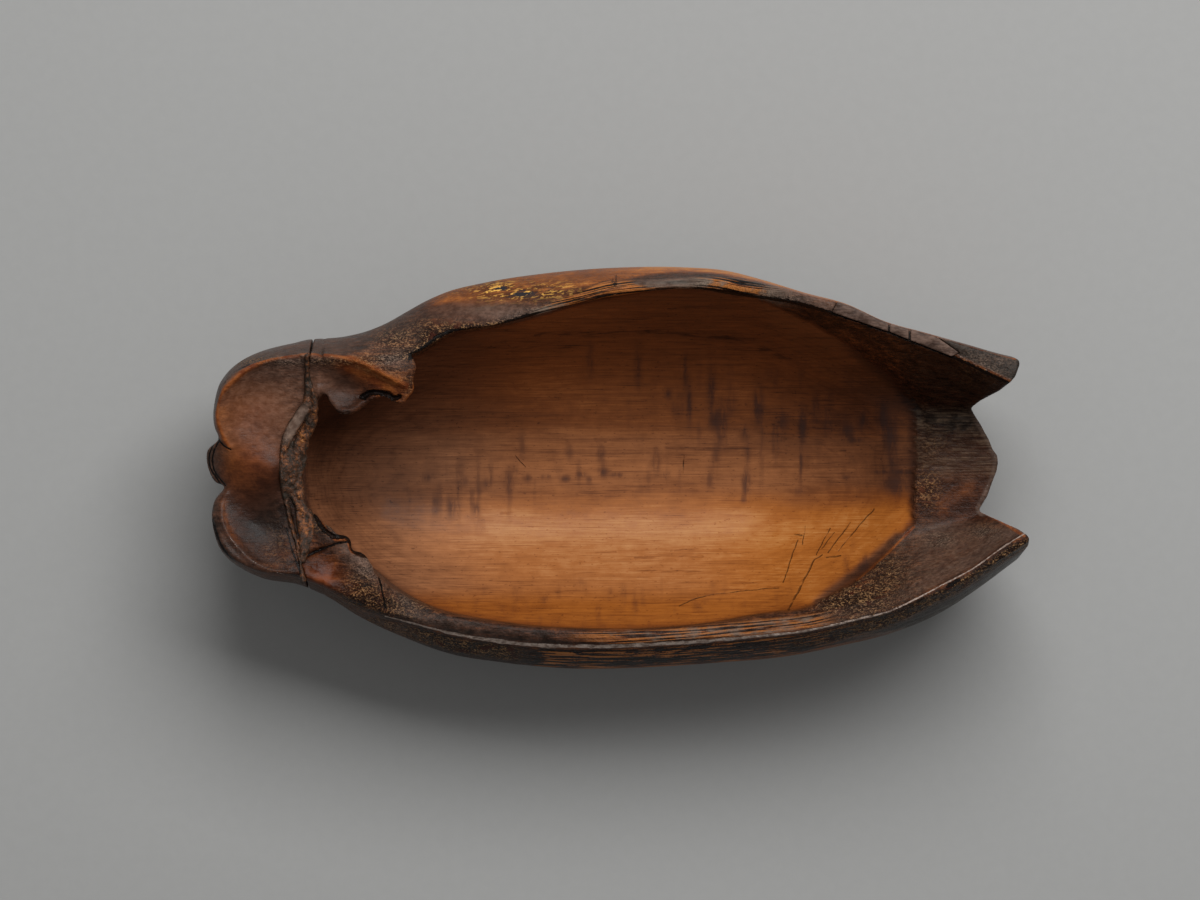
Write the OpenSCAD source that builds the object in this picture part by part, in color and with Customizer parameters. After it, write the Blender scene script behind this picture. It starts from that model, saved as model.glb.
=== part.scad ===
// Carved wooden bowl with a lobed head end and a three-pointed tail end.
// +X runs from head to tail, +Z is up, and the origin is the middle of the foot.

/* [Body] */
// Height of the belly, where the outside is widest
belly_h = 29; // [24:1:32]
// Roundness of the outside section: 2 is an ellipse, more is boxier
belly_power = 2.3; // [2:0.1:3]
// How far the underside is carved below the foot plane before the foot is cut flat
foot_cut = 2; // [1:0.5:3]
// How far the rim's outer edge drops below its crest
rim_drop = 2.6; // [1.5:0.1:3.5]

/* [Cavity] */
// Height of the cavity floor above the foot
floor_h = 7; // [5:0.5:9]
// Roundness of the cavity section
cavity_power = 2.5; // [2:0.1:3]

/* [Tail] */
// Height of the open floor between the tail points
tail_floor_h = 26; // [24:1:28]
// Half width of that floor
tail_floor_w = 13; // [9:1:14]

/* [Head] */
// Height of the flat seat that the resin bead lies on
seat_h = 38; // [36:1:40]
// Height of the resin bead's crown above its seat
bead_h = 6.5; // [4:0.5:7]
// Thickness of each fold that overhangs the cavity
fold_t = 3; // [2:0.5:4]

/* [Joint] */
// Radius of each hidden dowel
dowel_r = 1.75; // [1:0.25:2]
// Length of each dowel, half in the head and half in the hull
dowel_l = 11; // [8:1:12]
// Distance between the two dowels
dowel_gap = 24; // [18:2:26]
// Height of the dowels above the foot
dowel_h = 28; // [26:1:29]

/* [Rim splices] */
// Depth of the rabbet that the splices are set in
rabbet_d = 3.6; // [3:0.2:4]
// Thickness of the resin under and between the splices
bed_t = 0.4; // [0.3:0.1:0.6]

/* [Hidden] */
$fn = 48;

wood_dark = [0.24, 0.11, 0.06];
wood_mid = [0.48, 0.24, 0.11];
resin_tan = [0.42, 0.31, 0.18];
sky = 80;               // a height above everything
edge_air = 0.01;        // keeps the trough's edge from lying exactly on the crest

// Stations along the body, [x, value].
belly_north = [[-104, 20], [-98, 24], [-84, 30.3], [-64, 34], [-54, 38.4], [-44, 43.5], [-30, 47.2],
               [-10, 49.6], [10, 50.2], [28, 49.3], [45, 44.5], [60, 40], [75, 34.6], [90, 30.6],
               [104, 28]];
belly_south = [[-104, 19], [-98, 23], [-84, 28.9], [-74, 32], [-64, 38.3], [-54, 42.8], [-30, 48.5],
               [-10, 50.4], [10, 49.9], [28, 48.5], [45, 46.6], [60, 43.4], [75, 38.6], [90, 30.4],
               [104, 20]];
crest_north_y = [[-104, 20], [-84, 27.5], [-74, 29], [-64, 28.5], [-50, 28.5], [-40, 35], [-20, 38.6],
                 [0, 43], [18, 44.6], [31, 42.9], [54, 38], [76, 30.2], [90, 24.3], [104, 19]];
crest_south_y = [[-104, 19], [-84, 26.5], [-74, 29.5], [-62, 35], [-49, 39.2], [-30, 43], [-10, 44.4],
                 [16, 43.5], [46, 40.6], [60, 37.5], [74, 32.4], [88, 25.2], [104, 14.6]];
crest_north_z = [[-104, 44], [-84, 48.5], [-66, 50], [-50, 47], [-30, 45], [0, 45], [30, 46.5], [60, 49],
                 [85, 52], [104, 54]];
crest_south_z = [[-104, 43], [-84, 47], [-66, 48], [-50, 46], [-30, 44.5], [0, 44.5], [30, 46], [60, 48.5],
                 [85, 51.5], [104, 54]];
// How sharply the wall leans in above the belly: the smaller, the more.
lean_north = [[-104, 40], [-70, 40], [-55, 25], [-25, 25], [0, 46], [30, 60], [50, 90], [104, 90]];
lean_south = [[-104, 40], [0, 44], [104, 40]];
keel_z = [[-104, 34], [-98, 23], [-88, 12], [-74, 4], [-60, 0.5], [-45, 0], [45, 0], [60, 1], [74, 5.5],
          [86, 12], [96, 18.5], [104, 25]];
cavity_w = [[-79, 5], [-77, 11], [-72, 17], [-64, 23], [-52, 30.5], [-40, 36], [-20, 40], [0, 42.3],
            [20, 42.2], [40, 37], [50, 33], [58, 29], [66, 23.5], [72, 16], [75, 6]];
cavity_y = [[-79, 1], [-60, -2.5], [-40, -2], [0, 0.2], [30, 0.6], [50, 0], [75, 0]];
cavity_z = [[-79, 41], [-77, 30], [-72, 19], [-64, 12], [-52, 8.5], [-30, 7], [20, 7], [40, 9], [52, 13],
            [62, 18], [70, 23.5], [75, 28]];

// Number of the table interval that x lies in.
function span(t, x, i = 0) = i >= len(t) - 2 || x < t[i + 1][0] ? i : span(t, x, i + 1);

// Slope of the curve at a table point.
function rise(t, i) =
    let(a = max(i - 1, 0), b = min(i + 1, len(t) - 1))
    (t[b][1] - t[a][1]) / (t[b][0] - t[a][0]);

// Value at x on a smooth curve through a table's points.
function at(t, x) =
    let(i = span(t, x), h = t[i + 1][0] - t[i][0], s = min(1, max(0, (x - t[i][0]) / h)), r = 1 - s)
    t[i][1] * (1 + 2 * s) * r * r + t[i + 1][1] * s * s * (3 - 2 * s)
    + h * s * r * (r * rise(t, i) - s * rise(t, i + 1));

// Solid through closed loops that have the same number of points, with flat ends.
module loft(loops) {
    n = len(loops[0]);
    last = len(loops) - 1;
    polyhedron(
        points = [for (l = loops) each l],
        faces = [
            [for (j = [n - 1:-1:0]) j],
            for (i = [0:last - 1], j = [0:n - 1], k = [0, 1])
                let(a = i * n + j, b = i * n + (j + 1) % n)
                k == 0 ? [a, b, b + n] : [a, b + n, a + n],
            [for (j = [0:n - 1]) last * n + j]
        ]);
}

// Smooth closed outline through its points.
function rounded(p, steps = 4) = [
    for (i = [0:len(p) - 1], k = [0:steps - 1])
        let(n = len(p), s = k / steps,
            a = p[(i + n - 1) % n], b = p[i], c = p[(i + 1) % n], d = p[(i + 2) % n])
        0.5 * (2 * b + (c - a) * s + (2 * a - 5 * b + 4 * c - d) * pow(s, 2)
               + (3 * b - a - 3 * c + d) * pow(s, 3))
];

// One side of the outside section, from rim edge to keel: side is 1 for north and -1 for south.
function wall_points(x, side) =
    let(b = belly_h, keel = at(keel_z, x) - foot_cut,
        w = at(side > 0 ? belly_north : belly_south, x),
        z = at(side > 0 ? crest_north_z : crest_south_z, x) - rim_drop,
        lean = at(side > 0 ? lean_north : lean_south, x))
    [
        for (k = [0:3])
            let(h = (z - b) * (1 - k / 3))
            [x, side * w * pow(1 - pow(h / lean, 2), 1 / belly_power), b + h],
        for (k = [1:9])
            let(q = 90 * k / 9)
            [x, side * w * pow(max(0, cos(q)), 2 / belly_power), b - (b - keel) * sin(q)]
    ];

function crest_point(x, side) = [
    x,
    side * at(side > 0 ? crest_north_y : crest_south_y, x),
    at(side > 0 ? crest_north_z : crest_south_z, x)
];

function body_loop(x) =
    let(north = wall_points(x, 1), south = wall_points(x, -1))
    concat([crest_point(x, 1)], north, [for (i = [len(south) - 2:-1:0]) south[i]],
           [crest_point(x, -1)]);

module body_envelope() loft([for (x = [-104:4:104]) body_loop(x)]);

// Plan of the whole bowl. Only its lobes and its tail points are narrower than the body.
lobes = rounded([[-70, -42], [-84, -30], [-92, -26.5], [-98, -21], [-101, -13], [-98.4, -5.2], [-102, -1.5],
                 [-102, 3], [-99, 7], [-100.8, 13], [-98, 22.5], [-91, 28.6], [-83, 32], [-70, 42]]);
tail_tips = [[80, 60], [99, 60], [100.4, 27.5], [100, 24.5], [96.5, 19.2], [87.6, 14.2], [91.2, 9.6],
             [93.6, 4.2], [95, 2.2], [95, -1.2], [93, -7.6], [90.8, -10.4], [100.6, -16], [102, -18.4],
             [101.6, -21], [99, -60], [80, -60]];
plan = concat([for (p = lobes) if (p[0] < -71) p], [[-71, 60]], tail_tips, [[-71, -60]]);

module plan_block() linear_extrude(sky) polygon(plan);

module cavity() {
    top = 60;
    loft([
        for (x = [-79, -78.4, -77.6, -76.4, -75, -73, -70, each [-66:4:62], 65, 68, 70.5, 72.5, 74, 75])
            let(w = at(cavity_w, x), y = at(cavity_y, x), z = at(cavity_z, x) - 7 + floor_h, lip = 44)
            concat(
                [[x, y + w, top]],
                [for (k = [0:16])
                    let(q = 180 * k / 16, c = cos(q))
                    [x, y + w * sign(c) * pow(abs(c), 2 / cavity_power),
                     max(lip, z + 1) - (max(lip, z + 1) - z) * pow(sin(q), 2 / 2.2)]],
                [[x, y - w, top]])
    ]);
}

// Open floor and sloping inner faces behind the cavity.
module tail_trough() {
    loft([
        for (x = [38, 42, 46, each [50:4:78], 84, 90, 96, 106])
            let(n = at(crest_north_y, x), s = at(crest_south_y, x), nz = at(crest_north_z, x),
                sz = at(crest_south_z, x), open = min(1, max(0, (x - 38) / 32)),
                f = tail_floor_h + (1 - open) * 20, wn = n - 2 - (n - 2 - tail_floor_w) * open,
                ws = s - 2 - (s - 2 - tail_floor_w) * open)
            [[x, n, sky], [x, n, nz + edge_air], [x, wn, f + 1.2], [x, wn - 3, f], [x, 3 - ws, f],
             [x, -ws, f + 1.2], [x, -s, sz + edge_air], [x, -s, sky]]
    ]);
}

// Dished tops of the two lobes and the valley between them.
module head_dishes() {
    dish_r = 21;
    valley_r = 15;
    valley_l = 36;
    translate([-88, 16, 62.5]) sphere(r = dish_r);
    translate([-88, -15.5, 61.5]) sphere(r = dish_r);
    translate([-110, 0.5, 55]) rotate([0, 90, 0]) cylinder(r = valley_r, h = valley_l);
}

// Line where the head meets the hull, from the north side to the south side.
joint_line = [[-76.4, 60], [-76.4, 28], [-77.6, 20], [-79, 14], [-82, 7], [-83.4, 1], [-83.3, -5.5],
              [-81.8, -11], [-79.4, -22], [-77.4, -29], [-77.4, -60]];
module head_side()
    translate([0, 0, -1])
        linear_extrude(sky + 1)
            polygon(concat([[-120, 60]], joint_line, [[-120, -60]]));

// Plan of the resin bead, whose left edge is the joint line.
bead_plan = [[-77.6, 20], [-79, 14], [-82, 7], [-83.4, 1], [-83.3, -5.5], [-81.8, -11], [-79.4, -22],
             [-75.6, -22], [-74.2, -16.5], [-77, -12], [-78.6, -6], [-78.9, 0.5], [-78, 6], [-75, 11],
             [-73.4, 16], [-74, 20]];
module bead_seat() translate([0, 0, seat_h]) linear_extrude(sky) polygon(bead_plan);

module fold_north() {
    hull() {
        translate([-74, 24, 44]) sphere(r = fold_t / 2, $fn = 16);
        translate([-68, 14.8, 42.5]) sphere(r = fold_t / 2, $fn = 16);
        translate([-63, 17, 43]) sphere(r = fold_t / 2, $fn = 16);
        translate([-60, 31, 46]) sphere(r = fold_t / 2, $fn = 16);
    }
    hull() {
        translate([-63, 17, 43]) sphere(r = fold_t / 2, $fn = 16);
        translate([-52.4, 18.4, 45]) sphere(r = fold_t / 2, $fn = 16);
        translate([-52.4, 31, 46]) sphere(r = fold_t / 2, $fn = 16);
        translate([-62, 31, 46]) sphere(r = fold_t / 2, $fn = 16);
    }
}

module fold_south() {
    hull() {
        translate([-73, -18, 41]) sphere(r = fold_t / 2, $fn = 16);
        translate([-66.5, -19, 43]) sphere(r = fold_t / 2, $fn = 16);
        translate([-62, -24, 43.6]) sphere(r = fold_t / 2, $fn = 16);
        translate([-60, -36, 44.5]) sphere(r = fold_t / 2, $fn = 16);
        translate([-74, -30, 44]) sphere(r = fold_t / 2, $fn = 16);
    }
}

// The rabbet and the splices follow the north crest through shared stations.
splice_x = [53.6, 54, 58.4, 62.8, 67.2, 67.6, 72.2, 72.6, 76.6, 80.6, 84.6, 85];
function splice_w(x) = 2.5 - max(0, x - 76.6) * 0.21;

module rim_strip(first, last, low, high, drop = 0) {
    loft([
        for (i = [first:last])
            let(x = splice_x[i], y = at(crest_north_y, x) + 0.3, z = at(crest_north_z, x) - rabbet_d,
                w = splice_w(x))
            [[x, y, z + low], [x, y, z + high], [x, y + w, z + high - drop], [x, y + w, z + low]]
    ]);
}

module dowels() {
    for (side = [-1, 1])
        translate([-80.6 - dowel_l / 2, side * dowel_gap / 2, dowel_h])
            rotate([0, 90, 0])
                cylinder(r = dowel_r, h = dowel_l);
}

module hull_shell() color(wood_mid) {
    difference() {
        intersection() {
            body_envelope();
            plan_block();
        }
        difference() {
            cavity();
            fold_north();
            fold_south();
        }
        tail_trough();
        head_side();
        bead_seat();
        rim_strip(0, 11, 0, 10);
        dowels();
    }
}

module head_block() color(wood_dark) {
    difference() {
        intersection() {
            body_envelope();
            plan_block();
            head_side();
        }
        head_dishes();
        dowels();
    }
}

module head_dowels() color(wood_mid) dowels();

// The bead's sides step in a little at each level.
module seam_resin() color(resin_tan) {
    for (i = [0:2])
        translate([0, 0, seat_h])
            linear_extrude(bead_h * (0.6 + 0.2 * i)) offset(delta = -0.6 * i) polygon(bead_plan);
}

module splice(first, last) color(wood_dark) rim_strip(first, last, bed_t, rabbet_d, 0.9);

module splice_resin() color(resin_tan) {
    rim_strip(0, 11, 0, bed_t);
    rim_strip(4, 5, bed_t, rabbet_d - 0.2, 0.9);
    rim_strip(6, 7, bed_t, rabbet_d - 0.2, 0.9);
}

hull_shell();  // hull
head_block();
head_dowels();
seam_resin();
splice(1, 4);  // rim_splice_front
splice(5, 6);  // rim_splice_middle
splice(7, 10);  // rim_splice_rear
splice_resin();
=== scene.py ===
"""Carved wooden bowl: the looks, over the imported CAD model.

Lengths in the shape code are millimetres in the CAD frame: +X head to tail, +Y north side, +Z up.
Each wooden piece is a field that is negative inside the wood, sampled on a grid and turned into a mesh.
"""

import itertools
import math

import bpy
import numpy as np
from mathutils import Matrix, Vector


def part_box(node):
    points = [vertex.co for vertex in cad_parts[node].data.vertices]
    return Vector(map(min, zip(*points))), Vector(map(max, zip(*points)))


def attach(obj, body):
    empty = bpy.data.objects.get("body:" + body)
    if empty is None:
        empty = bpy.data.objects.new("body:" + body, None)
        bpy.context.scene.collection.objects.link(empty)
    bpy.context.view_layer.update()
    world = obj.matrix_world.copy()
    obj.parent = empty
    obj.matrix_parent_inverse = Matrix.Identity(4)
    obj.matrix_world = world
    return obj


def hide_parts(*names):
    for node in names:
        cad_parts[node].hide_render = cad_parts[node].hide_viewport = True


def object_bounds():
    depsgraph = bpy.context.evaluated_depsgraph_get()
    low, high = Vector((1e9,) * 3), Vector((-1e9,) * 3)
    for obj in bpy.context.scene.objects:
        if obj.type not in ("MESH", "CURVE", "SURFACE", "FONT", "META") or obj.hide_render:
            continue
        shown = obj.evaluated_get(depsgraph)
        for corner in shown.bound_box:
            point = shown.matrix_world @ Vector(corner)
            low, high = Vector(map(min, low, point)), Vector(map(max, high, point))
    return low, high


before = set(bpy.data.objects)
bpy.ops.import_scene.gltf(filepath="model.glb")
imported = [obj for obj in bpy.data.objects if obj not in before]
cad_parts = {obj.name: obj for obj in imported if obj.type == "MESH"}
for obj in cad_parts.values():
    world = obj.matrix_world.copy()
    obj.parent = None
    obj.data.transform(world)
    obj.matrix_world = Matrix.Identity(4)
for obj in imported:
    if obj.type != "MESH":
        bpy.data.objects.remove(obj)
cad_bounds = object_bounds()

import openvdb
from mathutils import Vector

MM = 0.001

# ---------------------------------------------------------------- numbers and curves


def fade(value, low, high):
    """Smooth step: 0 at low and 1 at high."""
    t = np.clip((value - low) / (high - low), 0.0, 1.0)
    return t * t * (3 - 2 * t)


def along(table, x):
    """Smooth curve through a table's [x, value] points, like the one that the CAD model uses."""
    xs, ys = np.array(table, float).T
    slope = np.gradient(ys, xs)
    i = np.clip(np.searchsorted(xs, x, side="right") - 1, 0, len(xs) - 2)
    width = xs[i + 1] - xs[i]
    s = np.clip((x - xs[i]) / width, 0, 1)
    r = 1 - s
    ends = ys[i] * (1 + 2 * s) * r * r + ys[i + 1] * s * s * (3 - 2 * s)
    return ends + width * s * r * (r * slope[i] - s * slope[i + 1])


def rounded(points, closed=True, steps=6):
    """Points along a smooth line through the given ones."""
    p = np.array(points, float)
    n = len(p)
    out = []
    for i in range(n if closed else n - 1):
        near = range(i - 1, i + 3)
        a, b, c, d = (p[j % n] if closed else p[min(max(j, 0), n - 1)] for j in near)
        for k in range(steps):
            s = k / steps
            out.append(0.5 * (2 * b + (c - a) * s + (2 * a - 5 * b + 4 * c - d) * s ** 2
                              + (3 * b - a - 3 * c + d) * s ** 3))
    if not closed:
        out.append(p[-1])
    return np.array(out)


def open_curve(points):
    return rounded(points, closed=False)


def distance(x, y, line, closed=False):
    """Distance in plan from each place to a line."""
    best = np.full(np.broadcast(x, y).shape, 1e9, np.float32)
    ends = np.roll(line, -1, axis=0) if closed else line[1:]
    for (ax, ay), (bx, by) in zip(line, ends):
        dx, dy = bx - ax, by - ay
        t = np.clip(((x - ax) * dx + (y - ay) * dy) / max(dx * dx + dy * dy, 1e-9), 0, 1)
        best = np.minimum(best, (x - ax - t * dx) ** 2 + (y - ay - t * dy) ** 2)
    return np.sqrt(best)


def signed(x, y, outline):
    """Distance in plan to a closed outline, negative inside it."""
    inside = np.zeros(np.broadcast(x, y).shape, bool)
    for (ax, ay), (bx, by) in zip(outline, np.roll(outline, -1, axis=0)):
        if ay != by:
            crosses = (ay > y) != (by > y)
            inside ^= crosses & (x < (bx - ax) * (y - ay) / (by - ay) + ax)
    return np.where(inside, -1, 1) * distance(x, y, outline, closed=True)


def blend_max(a, b, radius):
    """Greater of two fields, with the edge between them rounded."""
    h = np.maximum(radius - np.abs(a - b), 0) / radius
    return np.maximum(a, b) + h * h * radius * 0.25


def blend_min(a, b, radius):
    return -blend_max(-a, -b, radius)


def lattice(x, y, z, seed):
    """A repeatable number from -1 to 1 for each whole-number place."""
    h = x * 73856093 ^ y * 19349663 ^ z * 83492791 ^ seed * 2654435761
    h = (h ^ (h >> 13)) * 1274126177 & 0xFFFFFFFF
    return ((h ^ (h >> 16)) & 0xFFFF) / 32767.5 - 1


def noise(x, y, z, size, seed):
    """Smooth noise from -1 to 1. size is the length of its lumps, one number or three."""
    sx, sy, sz = (size,) * 3 if np.isscalar(size) else size
    axes = [np.asarray(v, float) / s for v, s in ((x, sx), (y, sy), (z, sz))]
    cells = [np.floor(v).astype(np.int64) for v in axes]
    parts = [v - c for v, c in zip(axes, cells)]
    parts = [f * f * (3 - 2 * f) for f in parts]
    total = 0.0
    for corner in itertools.product((0, 1), repeat=3):
        weight = 1.0
        for f, side in zip(parts, corner):
            weight = weight * (f if side else 1 - f)
        total = total + weight * lattice(*(c + side for c, side in zip(cells, corner)), seed)
    return total


def layered(x, y, z, size, seed, layers=3):
    """Noise with finer and weaker layers added."""
    size = np.array((size,) * 3 if np.isscalar(size) else size, float)
    return sum(noise(x, y, z, size / 2 ** k, seed + k) * 0.5 ** k for k in range(layers)) / 1.75


# ---------------------------------------------------------------- shape of the carving

BELLY = 29.0            # height of the widest level
POWER = 2.3             # roundness of the outside section
SLAB = 3.0              # thickness of the folds that overhang the cavity
CRACK = 0.14            # half the width of the open crack at the head's joint

# Lines along the vessel, as [x, value]: half widths at the widest level and at the rim, the rim's
# height, the reach of the upper walls, the keel's height and the slope inside the rim.
belly_north = [
    [-104, 19], [-98, 24.6], [-93, 28], [-88, 30], [-83, 31.2], [-78, 32.1], [-68, 33], [-63, 34.2],
    [-58, 36.2], [-53, 39], [-48, 41.8], [-43, 44], [-33, 46.5], [-18, 48.8], [2, 50.3], [17, 50.3],
    [27, 49.5], [37, 47], [47, 43.9], [57, 41.2], [67, 36.7], [77, 33.9], [87, 31.1], [97, 28.3],
    [104, 27]]
belly_south = [
    [-104, 18], [-98, 23.2], [-89, 28], [-78, 29.8], [-72, 32.6], [-65, 37], [-54, 42.2],
    [-41, 46.8], [-30, 48.6], [-11, 50.3], [7, 50], [24, 48.9], [44, 47], [55, 44.8], [70, 41],
    [81, 36.3], [91, 29.8], [99, 23.8], [104, 20]]
rim_north = [
    [-60, 26], [-50, 28.5], [-44, 33.2], [-33, 34.6], [-19, 38.9], [-10, 41], [-2, 43], [7, 44.1],
    [15, 44.8], [24, 44.4], [31, 43], [45, 41], [54, 38.4], [67, 34], [76, 30.4], [84, 27.3],
    [90, 24.5], [97, 21.2], [104, 18]]
rim_south = [
    [-60, 36.4], [-49, 39.2], [-41, 41.3], [-30, 43.1], [-19, 44.3], [-3, 44.5], [16, 43.6],
    [36, 41.8], [46, 40.7], [60, 37.6], [68, 35.5], [74, 32.6], [80, 29.4], [88, 25.1], [96, 19.4],
    [100, 16.9], [104, 14.5]]
height_north = [
    [-60, 47.5], [-50, 46.5], [-40, 45.6], [-25, 45], [0, 45.2], [30, 46.6], [60, 49.2], [85, 52],
    [104, 53.6]]
height_south = [
    [-60, 45.6], [-50, 45.4], [-30, 44.8], [0, 44.6], [30, 46], [60, 48.5], [85, 51.5], [104, 53.6]]
lean_north = [
    [-104, 40], [-75, 38], [-55, 25], [-25, 25.5], [-5, 34], [15, 38], [35, 60], [50, 90],
    [104, 90]]
lean_south = [[-104, 40], [-75, 38], [-50, 29], [0, 28.5], [40, 32], [70, 36], [104, 42]]
keel = [
    [-104, 36], [-98, 22], [-88, 10.5], [-74, 2.2], [-60, -1.4], [-45, -2], [45, -2], [60, -1],
    [74, 3.5], [86, 10], [96, 16.5], [104, 23]]
inner_slope = [
    [-60, 0.25], [10, 0.3], [24, 0.5], [40, 1.1], [58, 1.2], [75, 1.5], [88, 2.1], [100, 3]]
tail_floor = 26.6        # height of the tail's floor
# The cavity, as [x, value]: half width, middle in Y, and heights in the middle and at the edge.
cavity_half = [
    [-79, 9], [-77, 13], [-72, 20], [-64, 27], [-56, 32.5], [-48, 35.2], [-40, 37.2], [-20, 40.6],
    [0, 42.4], [20, 42.4], [34, 40.6], [42, 37.6], [50, 33.6], [58, 29.2], [66, 23.2], [74, 15],
    [80, 9]]
cavity_middle = [
    [-79, 1], [-60, -2.4], [-45, -1.6], [-20, 0], [0, 1.4], [30, 1.5], [50, 0.2], [80, 0.3]]
cavity_floor = [
    [-79, 39], [-77, 30], [-72, 20], [-64, 12.6], [-52, 8.6], [-30, 7], [20, 7], [40, 9],
    [52, 12.6], [62, 17.6], [70, 23.8], [75, 27.4], [80, 31]]
cavity_edge = [
    [-79, 44], [0, 44], [30, 44.5], [42, 42.5], [50, 40.5], [58, 37.5], [66, 33], [74, 28.2],
    [80, 27]]

# Outlines and lines in plan: [x, y].
head_outline = rounded([
    [-72, 34], [-72, -33], [-81, -30.2], [-90, -28], [-96.8, -23.8], [-99.8, -18.2], [-101, -12.5],
    [-100.3, -8], [-98, -4.8], [-100.6, -3.2], [-102.3, 0.6], [-102.2, 4.4], [-99.4, 7.2],
    [-100.4, 10.5], [-100.6, 14.5], [-99.2, 20.8], [-96, 26.2], [-89.6, 30], [-81, 32.4]])
tail_outline = np.array([
    [60, 60], [97.8, 60], [99, 27.4], [99.2, 25.8], [98.1, 23], [95, 19.4], [91, 16.6], [89.4, 15],
    [91.8, 11.4], [94, 7.4], [95, 5], [96.2, 3.4], [96.4, 1.4], [96.1, -0.8], [95, -3.6],
    [93.6, -7.4], [91.7, -10.5], [95, -12.4], [99.6, -15.4], [101.4, -17.4], [101.9, -19.2],
    [101, -21.4], [99, -60], [60, -60]], float)
cavity_outline = rounded([
    [-78.2, -8], [-78.6, 1], [-78, 10], [-74.5, 18], [-67, 25], [-57, 28.6], [-50.5, 28.4],
    [-45, 31.6], [-40, 34], [-30, 35.6], [-20, 38.1], [-10, 41], [0, 43.1], [8, 44.4], [16, 45],
    [24, 44.8], [31, 42.8], [38, 40.6], [44, 38], [51, 34.6], [59, 29.6], [67, 23.8], [71.6, 19.2],
    [74.4, 15.2], [75, 12], [75, 0], [75, -11], [74.2, -14.6], [70, -19.4], [66, -23], [58, -29.4],
    [50, -34], [41, -36], [33, -37.2], [26, -38.5], [16, -39.8], [4, -40.5], [-8, -40.4],
    [-20, -39.8], [-30, -38.6], [-38, -37.2], [-44, -35.8], [-50, -33.4], [-56, -29.8],
    [-60, -26.6], [-66, -22], [-76, -13]], steps=4)
joint_line = open_curve([
    [-76.2, 36], [-76.2, 29], [-77.3, 22], [-78, 14.5], [-81.8, 7], [-83.5, 0.8], [-83.3, -5.5],
    [-81.8, -10.5], [-80.5, -15.5], [-79.3, -21.8], [-77.3, -28.8], [-77, -38]])
fold_north = rounded([
    [-78, 31], [-68, 33], [-56, 32], [-50.5, 27], [-50.6, 21.5], [-51.2, 18.6], [-53, 16.5],
    [-55.6, 16.4], [-58, 17.7], [-61, 16.9], [-63.4, 14.9], [-66.4, 13.4], [-69.3, 13.8],
    [-71.6, 16.6], [-73.8, 20], [-77, 24]])
fold_south = rounded([
    [-78, -24], [-76.6, -12.6], [-74.8, -11.8], [-73.2, -13.6], [-71.2, -14.8], [-69.6, -16.4],
    [-67.6, -16.9], [-66.3, -18.6], [-65.6, -20.6], [-63.4, -21.4], [-61.6, -23], [-60.6, -25.6],
    [-59.4, -29.4], [-58, -33.4], [-57.2, -38], [-66, -39], [-78, -32]])

# Heights of the carved top around the head and the folds: [x, y, z].
head_heights = [
    # north lobe: raised edge, then dish
    [-97.8, 8.4, 44.6], [-98.8, 12, 46], [-98.2, 16, 47.2], [-95, 22, 48.6], [-90, 26.4, 49.4],
    [-84, 28.6, 49.8], [-78, 29.6, 50],
    [-92, 17, 43.6], [-86, 21, 44.8], [-81, 22, 45.8], [-84, 13, 43.4], [-94, 11, 43.2],
    [-88, 13, 43],
    # middle: nose and saddle
    [-101, 1, 37.6], [-98.6, 1, 40.6], [-95.4, 0.8, 43], [-91, 0, 44.2], [-86, -0.6, 44.2],
    [-82, 1, 42.6],
    # south lobe
    [-97, -7, 41.8], [-98.4, -12, 43.2], [-96, -18, 44.6], [-91, -22.8, 45.6], [-84, -25.4, 46.4],
    [-78.5, -27, 47.2], [-90.6, -13.4, 41.2], [-86, -18, 42.4], [-84, -8.6, 41.8], [-92, -8, 41.6],
    [-82, -21, 44.2], [-83, -14, 41.6],
    # north fold: ridge, cup and lip
    [-75, 29.3, 50], [-68, 28.2, 49.8], [-60.5, 25.2, 49], [-54, 22.2, 48], [-51.6, 19.6, 46.4],
    [-73, 23.5, 45.6], [-69, 19, 44], [-64, 19.4, 44], [-66, 23.5, 46], [-58, 20.4, 44.8],
    [-73, 18, 46],
    [-69, 14.4, 45.8], [-65.6, 14.2, 45.6], [-61, 17.4, 45.6], [-56, 17, 45.4],
    # behind the folds on the north side
    [-66, 32, 47], [-58, 32.5, 44.6], [-52, 30, 46.6], [-47, 31, 46.4], [-40, 35.2, 45.8],
    [-44, 38, 44],
    # south fold: lip and back
    [-74.6, -15.6, 42.6], [-70, -18, 45], [-65.4, -20.6, 45.8], [-60.8, -24, 46.4], [-58.6, -31, 46],
    [-57, -37, 45.2], [-75.4, -28.6, 47.4], [-68, -32.6, 46.6], [-62, -36.4, 45.4], [-71, -24, 44.6],
    [-66, -28, 46], [-50, -39.6, 45.4], [-45, -38, 43.4], [-42, -41, 45.2],
    [-55.6, -29.4, 42.4], [-53.6, -33.6, 42.4], [-49, -36.4, 42.8],
    # under the resin at the joint
    [-79, 12, 42.6], [-80.8, 3, 41], [-80.6, -6, 40.6], [-78.4, -14, 41.4]]


def spread(controls, x, y):
    """Smooth sheet through control heights (a thin plate)."""
    c = np.array(controls, float)
    n = len(c)

    def bend(r2):
        return 0.5 * r2 * np.log(np.maximum(r2, 1e-9))

    gap = (c[:, None, 0] - c[None, :, 0]) ** 2 + (c[:, None, 1] - c[None, :, 1]) ** 2
    system = np.zeros((n + 3, n + 3))
    system[:n, :n] = bend(gap) + np.eye(n) * 4
    system[:n, n:] = np.column_stack([np.ones(n), c[:, :2]])
    system[n:, :n] = system[:n, n:].T
    weights = np.linalg.solve(system, np.append(c[:, 2], [0, 0, 0]))
    sheet = weights[n] + weights[n + 1] * x + weights[n + 2] * y
    for (cx, cy, _), weight in zip(c, weights):
        sheet = sheet + weight * bend((x - cx) ** 2 + (y - cy) ** 2)
    return sheet


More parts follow.
